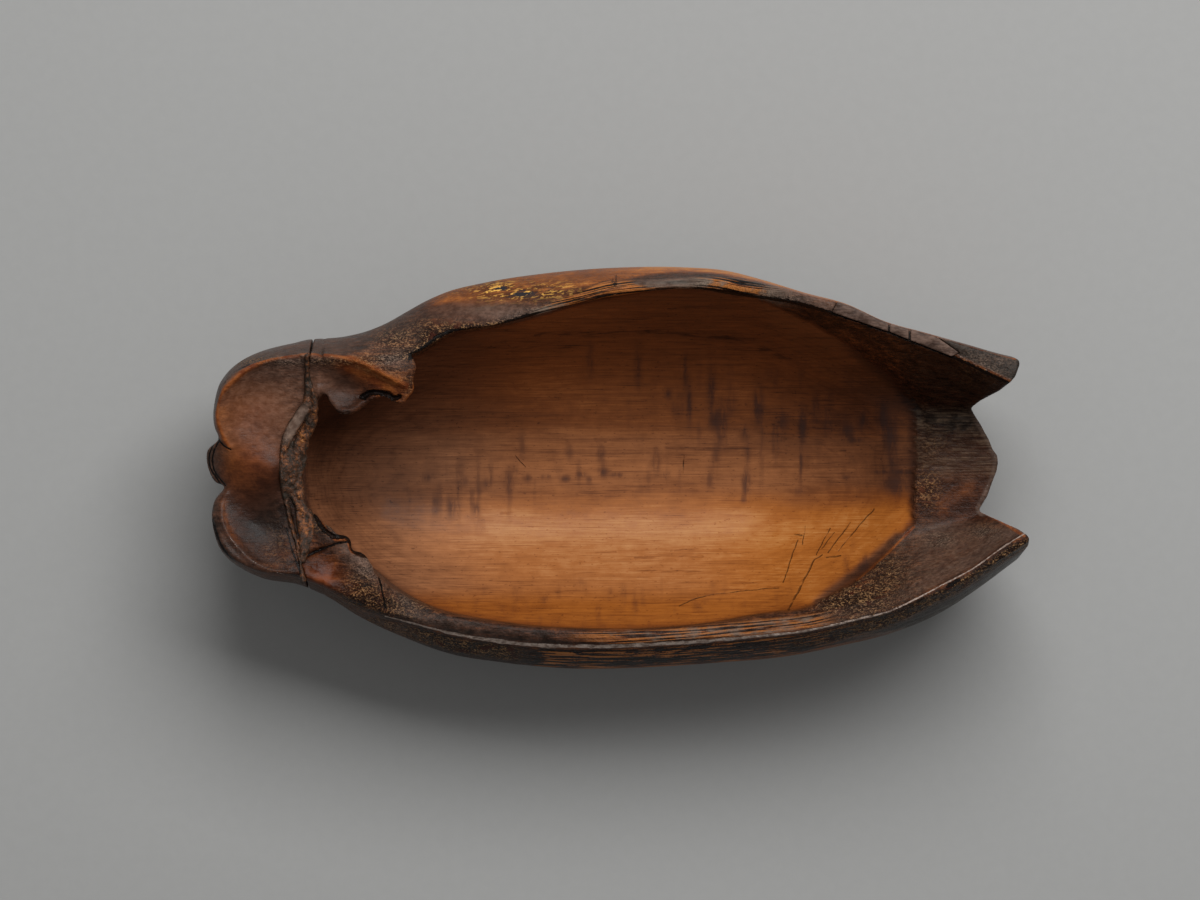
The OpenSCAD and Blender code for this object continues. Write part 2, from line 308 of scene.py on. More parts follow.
def bump(x, y, line, height, width):
    """A rounded ridge along a line, or a groove where height is negative."""
    return height * np.exp(-(distance(x, y, line) / width) ** 2)


def blob(x, y, cx, cy, rx, ry):
    """A soft patch: 1 in the middle of an oval, and 0 far from it."""
    return np.exp(-((x - cx) / rx) ** 2 - ((y - cy) / ry) ** 2)


# Edges, folds and cuts of the head, as lines in plan.
lobe_edge_north = open_curve([
    [-96.8, 5.2], [-98.8, 9.3], [-99.7, 13.2], [-99.5, 16.4], [-98.2, 18.8], [-95.2, 21.7],
    [-91.6, 24.7], [-86.7, 27], [-81.8, 28.3], [-77, 28.9], [-70.6, 28.4], [-65, 26.8],
    [-60.8, 24.7], [-56.6, 22.4], [-52.5, 20.3]])
lobe_edge_south = open_curve([
    [-97.6, -6.4], [-98.6, -9], [-98.3, -13], [-96.6, -16.6], [-93.8, -20], [-90.2, -23.4],
    [-85.3, -25.7], [-79.6, -27.2]])
fold_lip_north = open_curve([
    [-74.5, 20], [-73.2, 16.6], [-70.8, 14.7], [-68, 14.2], [-65.2, 15], [-62.4, 17.4],
    [-60, 18.2]])
fold_gap = open_curve([
    [-63.2, 17.6], [-61.4, 18.6], [-59, 18.7], [-57, 18.4], [-55.6, 17.5], [-54.2, 17.7]])
fold_groove = open_curve([[-77.6, -22], [-74, -20.4], [-70, -18.9], [-67, -18.4]])
nose_rings = [
    open_curve([[-99.9, 7.1], [-101.6, 3.6], [-101.5, 0], [-98.6, -4.3]]),
    open_curve([[-99.3, 6.5], [-100.8, 3.2], [-100.6, -0.5], [-97.6, -4.4]]),
    open_curve([[-99.4, 7.4], [-98, 5.7], [-96.2, 4.6]])]
side_cuts = [
    open_curve([[-99.4, 19.8], [-96.6, 24], [-92.6, 26.7], [-87.4, 28.9]]),
    open_curve([[-98.6, 20], [-95.6, 23.6], [-91.4, 25.8]]),
    open_curve([[-100.8, -13], [-98, -20], [-93, -24.9], [-86, -27.9]])]
fold_crack = open_curve([
    [-75, -11.6], [-73.8, -14.4], [-71.6, -16.4], [-69.8, -17.2], [-67.4, -17], [-66.2, -18.8],
    [-65.4, -20.6], [-63.4, -21.6], [-61.6, -22]])

# Ridges and grooves: (line, height, width).
ridges = [
    (lobe_edge_north, 0.8, 0.9), (lobe_edge_south, 0.6, 0.9), (fold_lip_north, 0.6, 0.8),
    (fold_gap, -1.5, 0.6), (fold_groove, -1.0, 0.6), (fold_crack, -0.9, 0.5)]
ridges += [(line, -0.45, 0.3) for line in nose_rings] + [(line, -0.5, 0.4) for line in side_cuts]


def flat_noise(x, y, size, seed):
    """Layered noise that's the same at every height."""
    return layered(x, y, 0 * x, size, seed)


def carved_top(x, y):
    """Height of the carving's upper surface over each place in plan."""
    north = y > 0
    rim = np.where(north, along(rim_north, x), along(rim_south, x))
    crest = np.where(north, along(height_north, x), along(height_south, x))
    out = np.abs(y) - rim
    drop = np.where(north, 0.035, 0.06) * np.maximum(out - 1, 0) ** 2
    wall = crest - drop + along(inner_slope, x) * np.minimum(out, 0)
    floor = tail_floor + 0.9 * fade(x, 86, 76) + 0.012 * y * y * 0.4
    wall = blend_max(wall, floor + 0 * wall, 3.0)
    head = spread(head_heights, x, y)
    for line, height, width in ridges:
        head = head + bump(x, y, line, height, width)
    share = fade(x, -41, -55)
    top = head * share + wall * (1 - share)
    chips = np.maximum(flat_noise(x, y, (2.6, 1.8, 5), 8), 0) * blob(x, y, -68, -24, 9, 8)
    chips = chips + np.maximum(flat_noise(x, y, (2.4, 1.6, 5), 9), 0) * blob(x, y, -47, 31, 5, 5)
    return top - 1.1 * chips + 0.16 * flat_noise(x, y, (9, 5, 5), 3) * fade(x, -80, -60)


def cavity_sheet(x, y):
    """Height of the cavity's surface over each place in plan."""
    across = np.abs(y - along(cavity_middle, x)) / along(cavity_half, x)
    low, high = along(cavity_floor, x), along(cavity_edge, x)
    chisel = 0.1 * flat_noise(x, y, (16, 7, 7), 11)
    return low + (high - low) * np.minimum(across, 1.6) ** 2.9 + chisel


def steepness(sheet, pitch):
    gx, gy = np.gradient(sheet, pitch)
    return 1 / np.sqrt(1 + gx * gx + gy * gy)


class Block:
    """A box of sample places, with the plan maps that every wooden piece shares."""

    def __init__(self, low, high, pitch):
        self.low, self.pitch = np.array(low, float), pitch
        axes = [np.arange(a, b + pitch, pitch) for a, b in zip(low, high)]
        self.x, self.y, self.z = np.meshgrid(*axes, indexing="ij", sparse=True)
        self.px, self.py = np.meshgrid(axes[0], axes[1], indexing="ij")

    def plan(self, values):
        return np.asarray(values, np.float32)[:, :, None]

    def mesh(self, field, name):
        """Makes the object whose surface is where the field is zero."""
        edge = 2 * self.pitch
        grid = openvdb.FloatGrid(edge)
        grid.copyFromArray(np.clip(field, -edge, edge).astype(np.float32))
        points, quads = grid.convertToQuads(0.0)
        points = points * self.pitch + self.low
        mesh = bpy.data.meshes.new(name)
        mesh.vertices.add(len(points))
        mesh.vertices.foreach_set("co", (points * MM).astype(np.float32).ravel())
        mesh.loops.add(len(quads) * 4)
        mesh.loops.foreach_set("vertex_index", quads.astype(np.int32).ravel())
        mesh.polygons.add(len(quads))
        mesh.polygons.foreach_set("loop_start", np.arange(0, len(quads) * 4, 4, dtype=np.int32))
        mesh.update(calc_edges=True)
        mesh.validate()
        mesh.polygons.foreach_set("use_smooth", np.ones(len(mesh.polygons), bool))
        piece = bpy.data.objects.new(name, mesh)
        bpy.context.scene.collection.objects.link(piece)
        return piece


def outside(b):
    """Field of the whole body's outer form, before its top is carved."""
    x, y, z = b.x, b.y, b.z
    half = np.where(y > 0, along(belly_north, x), along(belly_south, x)).astype(np.float32)
    lean = np.where(y > 0, along(lean_north, x), along(lean_south, x)).astype(np.float32)
    depth = BELLY - along(keel, x)
    above = np.where(z > BELLY, (z - BELLY) / lean, (BELLY - z) / depth)
    value = (np.abs(y) / half) ** POWER + above ** 2 - 1
    rise_y = POWER * (np.abs(y) / half) ** (POWER - 1) / half
    rise_z = 2 * above / np.where(z > BELLY, lean, depth)
    body = (value / np.sqrt(rise_y ** 2 + rise_z ** 2 + 1e-5)).astype(np.float32)
    head_side = b.plan(signed(b.px, b.py, head_outline))
    head_side = head_side + 2.2 * (np.maximum(z - 40, 0) / 10) ** 2
    head_side = head_side + 9 * (np.maximum(30 - z, 0) / 20) ** 2
    tail_side = b.plan(np.where(b.px > 62, signed(b.px, b.py, tail_outline), -9)) + 0.05 * (40 - z)
    body = blend_max(body, np.where(x < -73, head_side, -9), 2.5)
    body = blend_max(body, tail_side, 0.8)
    return blend_max(body, -z, 0.8)


def carving(b):
    """Field of the whole carving, head and hull together."""
    top = carved_top(b.px, b.py)
    sheet = cavity_sheet(b.px, b.py)
    form = outside(b)
    over = (b.z - b.plan(top)) * b.plan(steepness(top, b.pitch))
    edge_round = b.plan(np.interp(b.px, [-60, 20, 60], [1.2, 1.0, 0.5]))
    body = blend_max(form, over, edge_round)
    hollow = (b.plan(sheet) - b.z) * b.plan(steepness(sheet, b.pitch))
    hollow = blend_max(hollow, b.plan(signed(b.px, b.py, cavity_outline)), 1.5)
    brim_round = b.plan(np.where(b.py > 0, np.interp(b.px, [25, 45], [1.0, 7.0]), 1.0))
    body = np.maximum(blend_max(body, -hollow, 1.0), blend_max(over, -hollow, brim_round))
    for outline in (fold_north, fold_south):
        flap = np.maximum(over, b.plan(top - SLAB) - b.z)
        ragged = signed(b.px, b.py, outline) + 0.4 * flat_noise(b.px, b.py, 1.8, 71)
        flap = blend_max(flap, np.maximum(b.plan(ragged), form), 1.0)
        body = blend_min(body, flap, 0.8)
    return body


def joint_side(b):
    """Distance past the head's joint: negative on the head's side."""
    line = np.vstack([joint_line, [[-130, -38], [-130, 36]]])
    return signed(b.px, b.py, line)


def dowel_bores(b):
    low, high = (np.array(v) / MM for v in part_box("head_dowels"))
    radius = (high[2] - low[2]) / 2
    field = 9.0
    for y in (low[1] + radius, high[1] - radius):
        tube = np.sqrt((b.y - y) ** 2 + (b.z - (low[2] + radius)) ** 2) - radius
        field = np.minimum(field, np.maximum(tube, np.maximum(low[0] - b.x, b.x - high[0])))
    return field


# Outlines of the three splices in plan.
splice_plans = {
    "rim_splice_front": [[53.4, 38.7], [54.8, 41.6], [67.2, 36.9], [67.2, 33.9]],
    "rim_splice_middle": [[67.7, 33.8], [67.7, 36.1], [72.3, 34.5], [72.3, 31.9]],
    "rim_splice_rear": [[72.8, 31.7], [72.8, 34.6], [79.4, 32.4], [84.8, 28.6], [82.9, 27.7]],
}
SPLICE_DEPTH = 2.6
SPLICE_GAP = 0.12       # between the hull and the splices, for the filler
HULL_PITCH = 0.4        # sizes of the grids' steps
HEAD_PITCH = 0.3
FINE_PITCH = 0.25


def splice_field(b, plan):
    return np.maximum(b.plan(signed(b.px, b.py, np.array(plan, float))),
                      b.plan(carved_top(b.px, b.py) - SPLICE_DEPTH) - b.z)


def cut_joint(b, past, seed):
    """The carving on one side of the head's joint, with the dowels' bores."""
    crack = CRACK * (1 + 0.8 * noise(b.px, b.py, 0 * b.px, 3, seed))
    wood = np.maximum(carving(b), b.plan(crack + past))
    return np.maximum(wood, -dowel_bores(b))


def build_hull():
    b = Block([-86, -53, -1.5], [104, 53, 56], HULL_PITCH)
    wood = cut_joint(b, -joint_side(b), 5)
    for plan in splice_plans.values():
        wood = np.maximum(wood, SPLICE_GAP - splice_field(b, plan))
    return b.mesh(wood, "carved_hull")


def build_head():
    b = Block([-105, -36, 0], [-72, 36, 54], HEAD_PITCH)
    return b.mesh(cut_joint(b, joint_side(b), 6), "carved_head")


def build_splice(name, plan):
    p = np.array(plan, float)
    b = Block([*(p.min(0) - 1), 40], [*(p.max(0) + 1), 56], FINE_PITCH)
    wood = np.maximum(carving(b), splice_field(b, plan))
    return b.mesh(wood, name + "_wood")


bead_line = open_curve([
    [-77, 27.6], [-77, 22.6], [-76.9, 19.1], [-77.2, 16.3], [-78.9, 13], [-80.8, 10], [-82.2, 6.8],
    [-83, 3], [-83.3, -1.9], [-83, -5.4], [-82.2, -9.6], [-81.2, -14.5], [-79.8, -18.7],
    [-78.8, -23.6], [-78, -28]])
crust_line = open_curve([
    [-76.6, 22], [-75.4, 16.8], [-76.2, 12], [-78, 8], [-80, 4.4], [-81, 0], [-81, -4], [-79.4, -8],
    [-78, -12], [-77.6, -16], [-77.8, -20], [-78, -23]])


bead_widths = [
    [-28, 0.5], [-22, 0.6], [-8, 0.8], [2, 1.0], [7, 1.5], [10, 1.7], [14, 1.6], [17, 1.2], [20, 1],
    [28, 0.8]]
crust_widths = [
    [-23, 0.7], [-18, 1.8], [-13, 2.4], [-8, 1.5], [-5, 2.6], [2, 2.9], [7, 1.8], [13, 1.4], [18, 1],
    [22, 0.5]]


def build_resin():
    b = Block([-88, -31, 34], [-71, 29, 53], FINE_PITCH)
    top = carved_top(b.px, b.py)
    bead, crust = distance(b.px, b.py, bead_line), distance(b.px, b.py, crust_line)
    bead_width = np.interp(b.py, *zip(*bead_widths))
    crust_width = np.interp(b.py, *zip(*crust_widths))
    lumps = flat_noise(b.px, b.py, 2.4, 21)
    crumbs = layered(b.px, b.py, 0 * b.px, 0.9, 25, 2)
    round_bead = 1.5 * bead_width * np.sqrt(np.maximum(0, 1 - (bead / bead_width) ** 2)) - 0.25
    low_crust = 1.5 * np.sqrt(np.maximum(0, 1 - (crust / (1.2 * crust_width)) ** 2)) - 0.2
    smooth = fade(b.py, 4, 8) * fade(b.py, 18, 15) * fade(bead, 1.7, 0.9)
    crown = top + blend_max(round_bead, low_crust, 0.8) + (1 - smooth) * 0.6 * (lumps + crumbs)
    edge = np.minimum(bead - bead_width, crust - crust_width) + 0.7 * lumps + 0.3 * crumbs
    field = blend_max(b.z - b.plan(crown), b.plan(edge), 0.8)
    return b.mesh(blend_max(field, b.plan(top) - 3.2 - b.z, 0.8), "resin_bead")


def build_splice_resin():
    b = Block([52, 26, 40], [87, 43, 56], FINE_PITCH)
    outline = [[53.2, 38.5], [54.7, 41.2], [67.5, 36.2], [79.4, 32], [85, 28.3], [83, 27.7]]
    bed = splice_field(b, outline)
    bed = np.maximum(bed, carving(b) + 0.45)
    for plan in splice_plans.values():
        bed = np.maximum(bed, 0.06 - splice_field(b, plan))
    return b.mesh(bed, "splice_bedding")


# ---------------------------------------------------------------- marks on the surface


def vertex_numbers(piece, kind):
    flat = np.empty(len(piece.data.vertices) * 3, np.float32)
    piece.data.vertices.foreach_get(kind, flat)
    return flat.reshape(-1, 3)


def mark(piece, name, values):
    """Stores a number for each vertex, which the material reads by name."""
    layer = piece.data.attributes.new(name, "FLOAT", "POINT")
    layer.data.foreach_set("value", np.ascontiguousarray(values, dtype=np.float32))


def mark_share(piece, name, values, most=1):
    mark(piece, name, np.clip(values, 0, most))


def stroke(x, y, line, width):
    """1 along a line in plan, fading to 0 beside it."""
    return np.exp(-(distance(x, y, np.array(line, float)) / width) ** 2)


def patches(x, y, spots):
    """Sum of soft patches: [x, y, half length along X, half length along Y, strength]."""
    return sum(share * blob(x, y, *spot) for *spot, share in spots)


def rim_gaps(x, y):
    """How far each place is outside the north rim, and outside the south rim."""
    return y - along(rim_north, x), -y - along(rim_south, x)


# Warmth of the lining, from 0 (black brown) to 1 (cream), across the vessel and along it.
# Across: the cream peak near y -15 is a painted highlight, the step near y 9 a painted change of
# reflection, and the dip near y 29 painted shade on the north wall.
lining_across = [
    [-44, 0.56], [-38, 0.68], [-31, 0.75], [-21, 0.82], [-15.5, 0.85], [-9.5, 0.75], [-8, 0.71],
    [0, 0.7], [7, 0.63], [8.6, 0.61], [10, 0.56], [16, 0.55], [27, 0.54], [29, 0.51], [35, 0.53],
    [42, 0.53]]
# Along: darker towards the head end, as painted shade of the steep end wall, and a little darker
# towards the tail.
lining_along = [
    [-79, -0.26], [-70, -0.22], [-60, -0.18], [-48, -0.1], [-36, -0.02], [20, 0], [36, 0],
    [50, -0.03], [62, -0.07], [75, -0.12]]
# Where the lining is warmer or darker than that, as patches.
warmer = [
    [-72, -16, 5, 6, -0.1], [-56, -16, 12, 9, -0.09], [-50, 6, 16, 8, 0.06], [70, 0, 6, 7, -0.12],
    [62, -28, 6, 4, -0.1], [72, -11, 3, 4, 0.1], [60, -12, 9, 3, 0.1], [49, -32, 4, 3, 0.14]]
# Dark smudges across the grain, and wide streaky ones, as patches.
smudges = [
    [-48, -2.5, 1.2, 1, 0.5], [-42, -10, 1.1, 2.6, 0.7], [-46, -9, 0.8, 2, 0.4],
    [-38.5, -3.5, 1, 1, 0.5], [-35.5, -10.5, 0.8, 1.6, 0.7], [-35, -6, 0.7, 2.4, 0.4],
    [-33, -4, 1, 1.2, 0.5], [-27.4, -3.4, 0.9, 2.6, 0.7], [-22.6, -2.6, 1, 0.9, 0.6],
    [-18, -2.2, 1.3, 0.6, 0.5], [-13, -2.8, 1.2, 0.8, 0.8], [-9, -1.8, 1.2, 0.6, 0.5],
    [-7, -3, 0.8, 1, 0.5], [-3.6, -1.2, 1.2, 1, 0.7], [0, -1.8, 1.8, 0.5, 0.7],
    [-24, 6, 0.9, 3, 0.35], [-12, 4, 0.9, 2, 0.4], [-4, 3.6, 0.9, 2.4, 0.5], [10, 1.4, 0.9, 3, 0.5],
    [12.4, -1.6, 0.9, 0.8, 0.6], [-6.6, 27, 0.9, 4, 0.45], [5.4, 25, 0.9, 5, 0.4],
    [13, 18.6, 0.8, 1.2, 0.6], [17.4, 24, 0.6, 4, 0.6], [18.4, 16, 0.6, 5, 0.7],
    [24, 20, 1, 5, 0.7], [25, 12, 1.6, 2.4, 0.7], [26, 8, 0.8, 3, 0.5], [25, 3, 0.9, 2.6, 0.45],
    [23.6, -3, 0.9, 2.4, 0.4], [32.6, 9, 1, 2, 0.5], [33, 3.6, 0.8, 2.4, 0.5],
    [32.7, -4, 0.9, 3, 1], [32, -8, 0.8, 1, 0.5], [36, 15.4, 1.3, 4.4, 0.7],
    [42, 12, 1.6, 2.4, 0.5], [41.4, 8, 0.8, 2, 0.4], [47, 10.6, 0.9, 3.6, 0.95],
    [46.6, 1, 0.5, 4, 0.8], [50.4, 15, 0.8, 3, 0.5], [53.4, 10.6, 0.9, 2, 0.6],
    [58.4, 9.4, 1.4, 1.6, 0.6], [62, 12, 1.1, 2, 0.7], [60, 7, 2, 0.7, 0.5],
    [67, 12.6, 1.2, 3.6, 0.8], [68.8, 8.4, 1.4, 3.4, 1], [69.4, 3, 0.9, 3, 0.6],
    [70, -4, 3, 2.6, 0.7], [72, -1, 2.4, 0.5, 0.7], [66.6, -1, 1.8, 0.5, 0.6],
    [58, -2.4, 1.6, 0.6, 0.4], [46, -6, 1.6, 0.9, 0.3], [4.6, -34, 0.8, 2.6, 0.3],
    [-18, -33, 1, 1, 0.35], [-9, -29, 1.4, 1.6, 0.2], [-23, 43.3, 3.2, 0.9, 1],
    [-29, 44.8, 1.6, 0.5, 0.8], [-17, 44.6, 1.4, 0.5, 0.8]]
wide_smudges = [
    [34, 12, 24, 13, 0.36], [-38, -6, 16, 8, 0.35], [-5, -2, 20, 4, 0.3], [0, -34, 36, 6, 0.3],
    [60, -22, 7, 5, 0.5]]
# Painted shade of a groove beside the tail's seam ridge: along this line the lining is painted darker
# and greyer.
seam_groove_shade = [[50, -33.4], [60, -26], [66, -21], [70, -17.4]]


def lining_share(x, y, z, facing, below, inside):
    """Where the clear amber lining lies. below is the depth under the carved top."""
    wobble = 0.7 * layered(x, y, z, 4, 41)
    soft = fade(x, 36, 50) * fade(y, 6, 14)
    lining = fade(z - cavity_sheet(x, y), 1.2, 0.3) * fade(inside + wobble, 0.8, -0.3)
    lining = lining * fade(below + wobble, -0.2 - 0.6 * soft, 0.7 + 2.6 * soft)
    frayed = 1.6 * layered(x, y, z, (9, 2.2, 4), 44) + 0.8 * noise(x, y, z, (3, 0.8, 2), 46)
    return lining * fade(facing, 0.02, 0.2) * fade(x + 1.3 * frayed, 76, 73.4)


def lining_warmth(x, y, z, inside):
    across = y - 0.7 * noise(x, y, z, (30, 12, 12), 43)
    warmth = along(lining_across, across) + along(lining_along, x) + patches(x, y, warmer)
    # Painted shade: darker on the north side towards the tail and just inside the cavity's edge at the
    # tail; also darker just inside the south edge.
    warmth = warmth - 0.06 * fade(x, 48, 66) * fade(y, 8, 22)
    warmth = warmth - 0.1 * fade(inside, -2.0, -0.1) * fade(y, 10, -10)
    return warmth - 0.16 * fade(inside, -2.6, -0.2) * fade(x, 54, 62)


# Dust and painted sheen on the lining: a greyer, pinker film, strongest at the head end, that thins out
# on the south side towards the tail.
def lining_dust_and_sheen(x, y, z):
    way = y + 2.2 * noise(x, y, z, (16, 5, 9), 47)
    south = fade(way, -4, -11)
    dust_and_sheen = 0.4 + 0.5 * fade(x, -20, -56) + 0.25 * fade(way, 11, 6) * fade(way, -10, -2)
    dust_and_sheen = dust_and_sheen * fade(y, -35, -29) * (1 - 0.9 * south * fade(x, 10, 44))
    return dust_and_sheen * (1 - south * fade(x, 60, 74))


def mark_lining(piece, x, y, z, inside, lining):
    groove_shade = stroke(x, y, seam_groove_shade, 1.0)
    streaks = fade(noise(x, y, z, (1.6, 8, 8), 51), 0.1, 0.8)
    mark(piece, "amber", lining)
    mark(piece, "warmth", lining_warmth(x, y, z, inside) - 0.22 * groove_shade)
    mark_share(piece, "dust_and_sheen", lining_dust_and_sheen(x, y, z) + 0.8 * groove_shade)
    mark_share(piece, "blot", patches(x, y, smudges) + patches(x, y, wide_smudges) * streaks)


# Warmth and greyness of the old surface around the head: [x, y, warmth, grey]. The low warmth of the
# south lobe is painted shade, as it faces away from the light, and the grey on the north lobe is in
# part a painted sheen.
head_tones = [
    [-98, 14, 0.66, 0.2], [-92, 20, 0.62, 0.5], [-84, 20, 0.58, 0.55], [-79.5, 22, 0.5, 0.5],
    [-92, 12, 0.64, 0.45], [-84, 12, 0.62, 0.5], [-94, 6, 0.62, 0.25], [-86, 6, 0.58, 0.3],
    [-97, 1, 0.66, 0], [-92, 0, 0.54, 0], [-87, 0, 0.46, 0], [-84.5, 1, 0.44, 0.05],
    [-95, -8, 0.38, 0.05], [-88, -8, 0.34, 0.06], [-95, -14, 0.36, 0.02], [-90, -14, 0.2, 0.04],
    [-85, -13, 0.18, 0.08], [-88, -20, 0.34, 0.06], [-83, -18, 0.32, 0.08], [-82, -24, 0.34, 0.04],
    [-92, 27.5, 0.34, 0.4], [-84, 31, 0.38, 0.5], [-100.5, 19, 0.36, 0.4], [-100.6, -14, 0.3, 0.25],
    [-94, -24.6, 0.3, 0.2], [-84, -28.6, 0.34, 0.2], [-101.4, 2, 0.34, 0.5], [-74.5, 26, 0.5, 0.3],
    [-74, 20, 0.48, 0.45], [-70, 22, 0.42, 0.2], [-67, 24, 0.44, 0.05], [-63, 23, 0.62, 0],
    [-66, 20, 0.36, 0.15], [-60, 20.5, 0.46, 0], [-56, 20.6, 0.6, 0], [-68, 16, 0.34, 0.12],
    [-72, 16, 0.36, 0.15], [-53, 19, 0.56, 0.1], [-51.5, 24, 0.46, 0.1], [-64, 28.6, 0.62, 0.3],
    [-56, 26.5, 0.5, 0.5], [-68, 33, 0.4, 0.5], [-56, 32, 0.42, 0.15], [-48, 36, 0.4, 0.45],
    [-46, 31, 0.36, 0.35], [-76, -18, 0.3, 0], [-73, -26.5, 0.56, -0.5], [-76, -31, 0.26, 0.25],
    [-69, -21, 0.3, 0.3], [-64.5, -25, 0.4, 0.5], [-77, -23, 0.3, 0], [-66, -31, 0.42, -0.1],
    [-60, -32, 0.42, 0], [-68, -35, 0.36, 0.2], [-54, -33, 0.28, 0.3], [-48, -37, 0.3, 0.3],
    [-56, -39, 0.3, 0.05], [-50, -42, 0.3, 0.1]]
tail_tip = np.array([[89.4, 15], [94, 7.4], [96.4, 2], [95, -3.6], [91.7, -10.5]])
shoulder_light_width = [
    [-60, 0.5], [-45, 2.4], [-20, 4.6], [0, 3.4], [12, 1.5], [30, 1.1], [42, 0.7], [66, 0.4],
    [104, 0.4]]


def inner_wing(x, y, out):
    """The north wing's inner slope."""
    return fade(x, 38, 48) * fade(y, 8, 14) * fade(out, 0.2, -0.5)


def tail_middle(x, y):
    return fade(x, 73, 76) * fade(np.abs(y), 17, 13)


def south_facet(x, y, out):
    """The south wing's flat inner slope."""
    return fade(x, 52, 60) * fade(out, -0.4, -1.4) * fade(y, -12, -16)


def north_tones(x, y, z, below, out, warm, grey_film_and_sheen):
    """Adds the north side to the warmth and the greyness, with a painted highlight on the lit shoulder,
    a film that is partly painted sheen, and painted shade on the wing's inner slope.
    """
    north = y > 0
    # Painted highlight: the outer shoulder, which faces the light, is painted warmer along the outline.
    outline = along(belly_north, x) - y - along(shoulder_light_width, x)
    painted_shoulder_light = fade(outline, 0.9, -0.4) * fade(z, 22, 30) * north * fade(x, -60, -40)
    warm = warm + painted_shoulder_light * (0.27 + 0.25 * fade(x, -10, 16)) * fade(x, 104, 60)
    warm = warm + patches(
        x, y, [[-32, 41.6, 11, 0.9, 0.24], [-10, 45.2, 13, 1.3, 0.22], [-42, 41, 8, 3, 0.08]])
    # Grey film on the north rim: dust in part and painted sheen in part.
    film_and_sheen = patches(x, y, [[-28, 38.7, 15, 2.2, 0.5], [15, 46.2, 9, 1.2, 0.7]]) + 0.5 * fade(x, 30, 44)
    grey_film_and_sheen = (grey_film_and_sheen + film_and_sheen * fade(out, -2, -0.5) * north) * (1 - painted_shoulder_light)
    ragged = x + 3 * noise(x, y, z, (4, 3, 4), 53)
    tip = fade(ragged, 79, 85) * fade(out, 0.8, 1.2) * north * (0.3 + 0.7 * fade(below, 12, 3))
    bevel = fade(x, 80, 85) * fade(out, -0.6, 0) * north * (1 - tip)
    grey_film_and_sheen = grey_film_and_sheen * (1 - bevel) * (1 - tip) + 0.8 * tip
    # Painted shade: the wing's inner slope, which faces away from the light, is painted darker and
    # without the grey film.
    inner = inner_wing(x, y, out)
    warm = warm + 0.08 * bevel - 0.1 * tip - inner * (0.02 + 0.08 * fade(x, 62, 80))
    return warm, grey_film_and_sheen * (1 - inner)


def tail_tones(x, y, warm, grey_film_and_sheen):
    """Adds the middle of the tail to the warmth and the greyness."""
    middle = tail_middle(x, y)
    streak = 0.14 * stroke(x, y, [[81, -9], [89, -5]], 1.4)
    warm = warm + middle * (0.04 - 0.16 * fade(y, 3, 10) + streak)
    grey_film_and_sheen = grey_film_and_sheen + middle * (0.15 * blob(x, y, 84, 1, 9, 4) - 0.08)
    end_face = middle * fade(distance(x, y, tail_tip), 1.9, 1.4)
    return warm - 0.1 * end_face, grey_film_and_sheen + 0.5 * end_face


def south_tones(x, y, z, out, warm, grey_film_and_sheen):
    """Adds the south side to the warmth and the greyness."""
    south = y < 0
    ledge = fade(out, -4.4, -3.4) * fade(out, -0.2, -0.8) * south
    warm = warm + ledge * (0.16 * fade(x, -18, -8) - 0.14) * fade(x, 60, 48)
    warm = warm + ledge * 0.1 * blob(x, y, 38, -38, 14, 4)
    grey_film_and_sheen = grey_film_and_sheen + ledge * (0.18 * fade(x, 0, -50) + 0.14 * fade(x, -10, 10))
    facet = south_facet(x, y, out)
    warm = warm + 0.05 * facet * fade(x, 60, 84)
    grey_film_and_sheen = grey_film_and_sheen + 0.3 * facet * fade(x, 66, 80)
    warm = warm - 0.2 * fade(out, 0.3, 1.0) * fade(out, 6.4, 4.6) * fade(z, 26, 34) * south
    bent = x + 9 * noise(x, y, z, (14, 6, 5), 57)
    hem = fade(along(belly_south, x) + y, 1.0, 0.5) * fade(z, 22, 28) * south
    hem = hem * (0.75 + 0.35 * noise(x, y, z, (11, 4, 3), 59))
    warm = warm + 0.5 * hem * fade(bent, -34, -4) * fade(bent, 74, 44)
    return warm, grey_film_and_sheen + 0.72 * fade(bent, 44, 76) * fade(out, 3.4, 4.2) * south


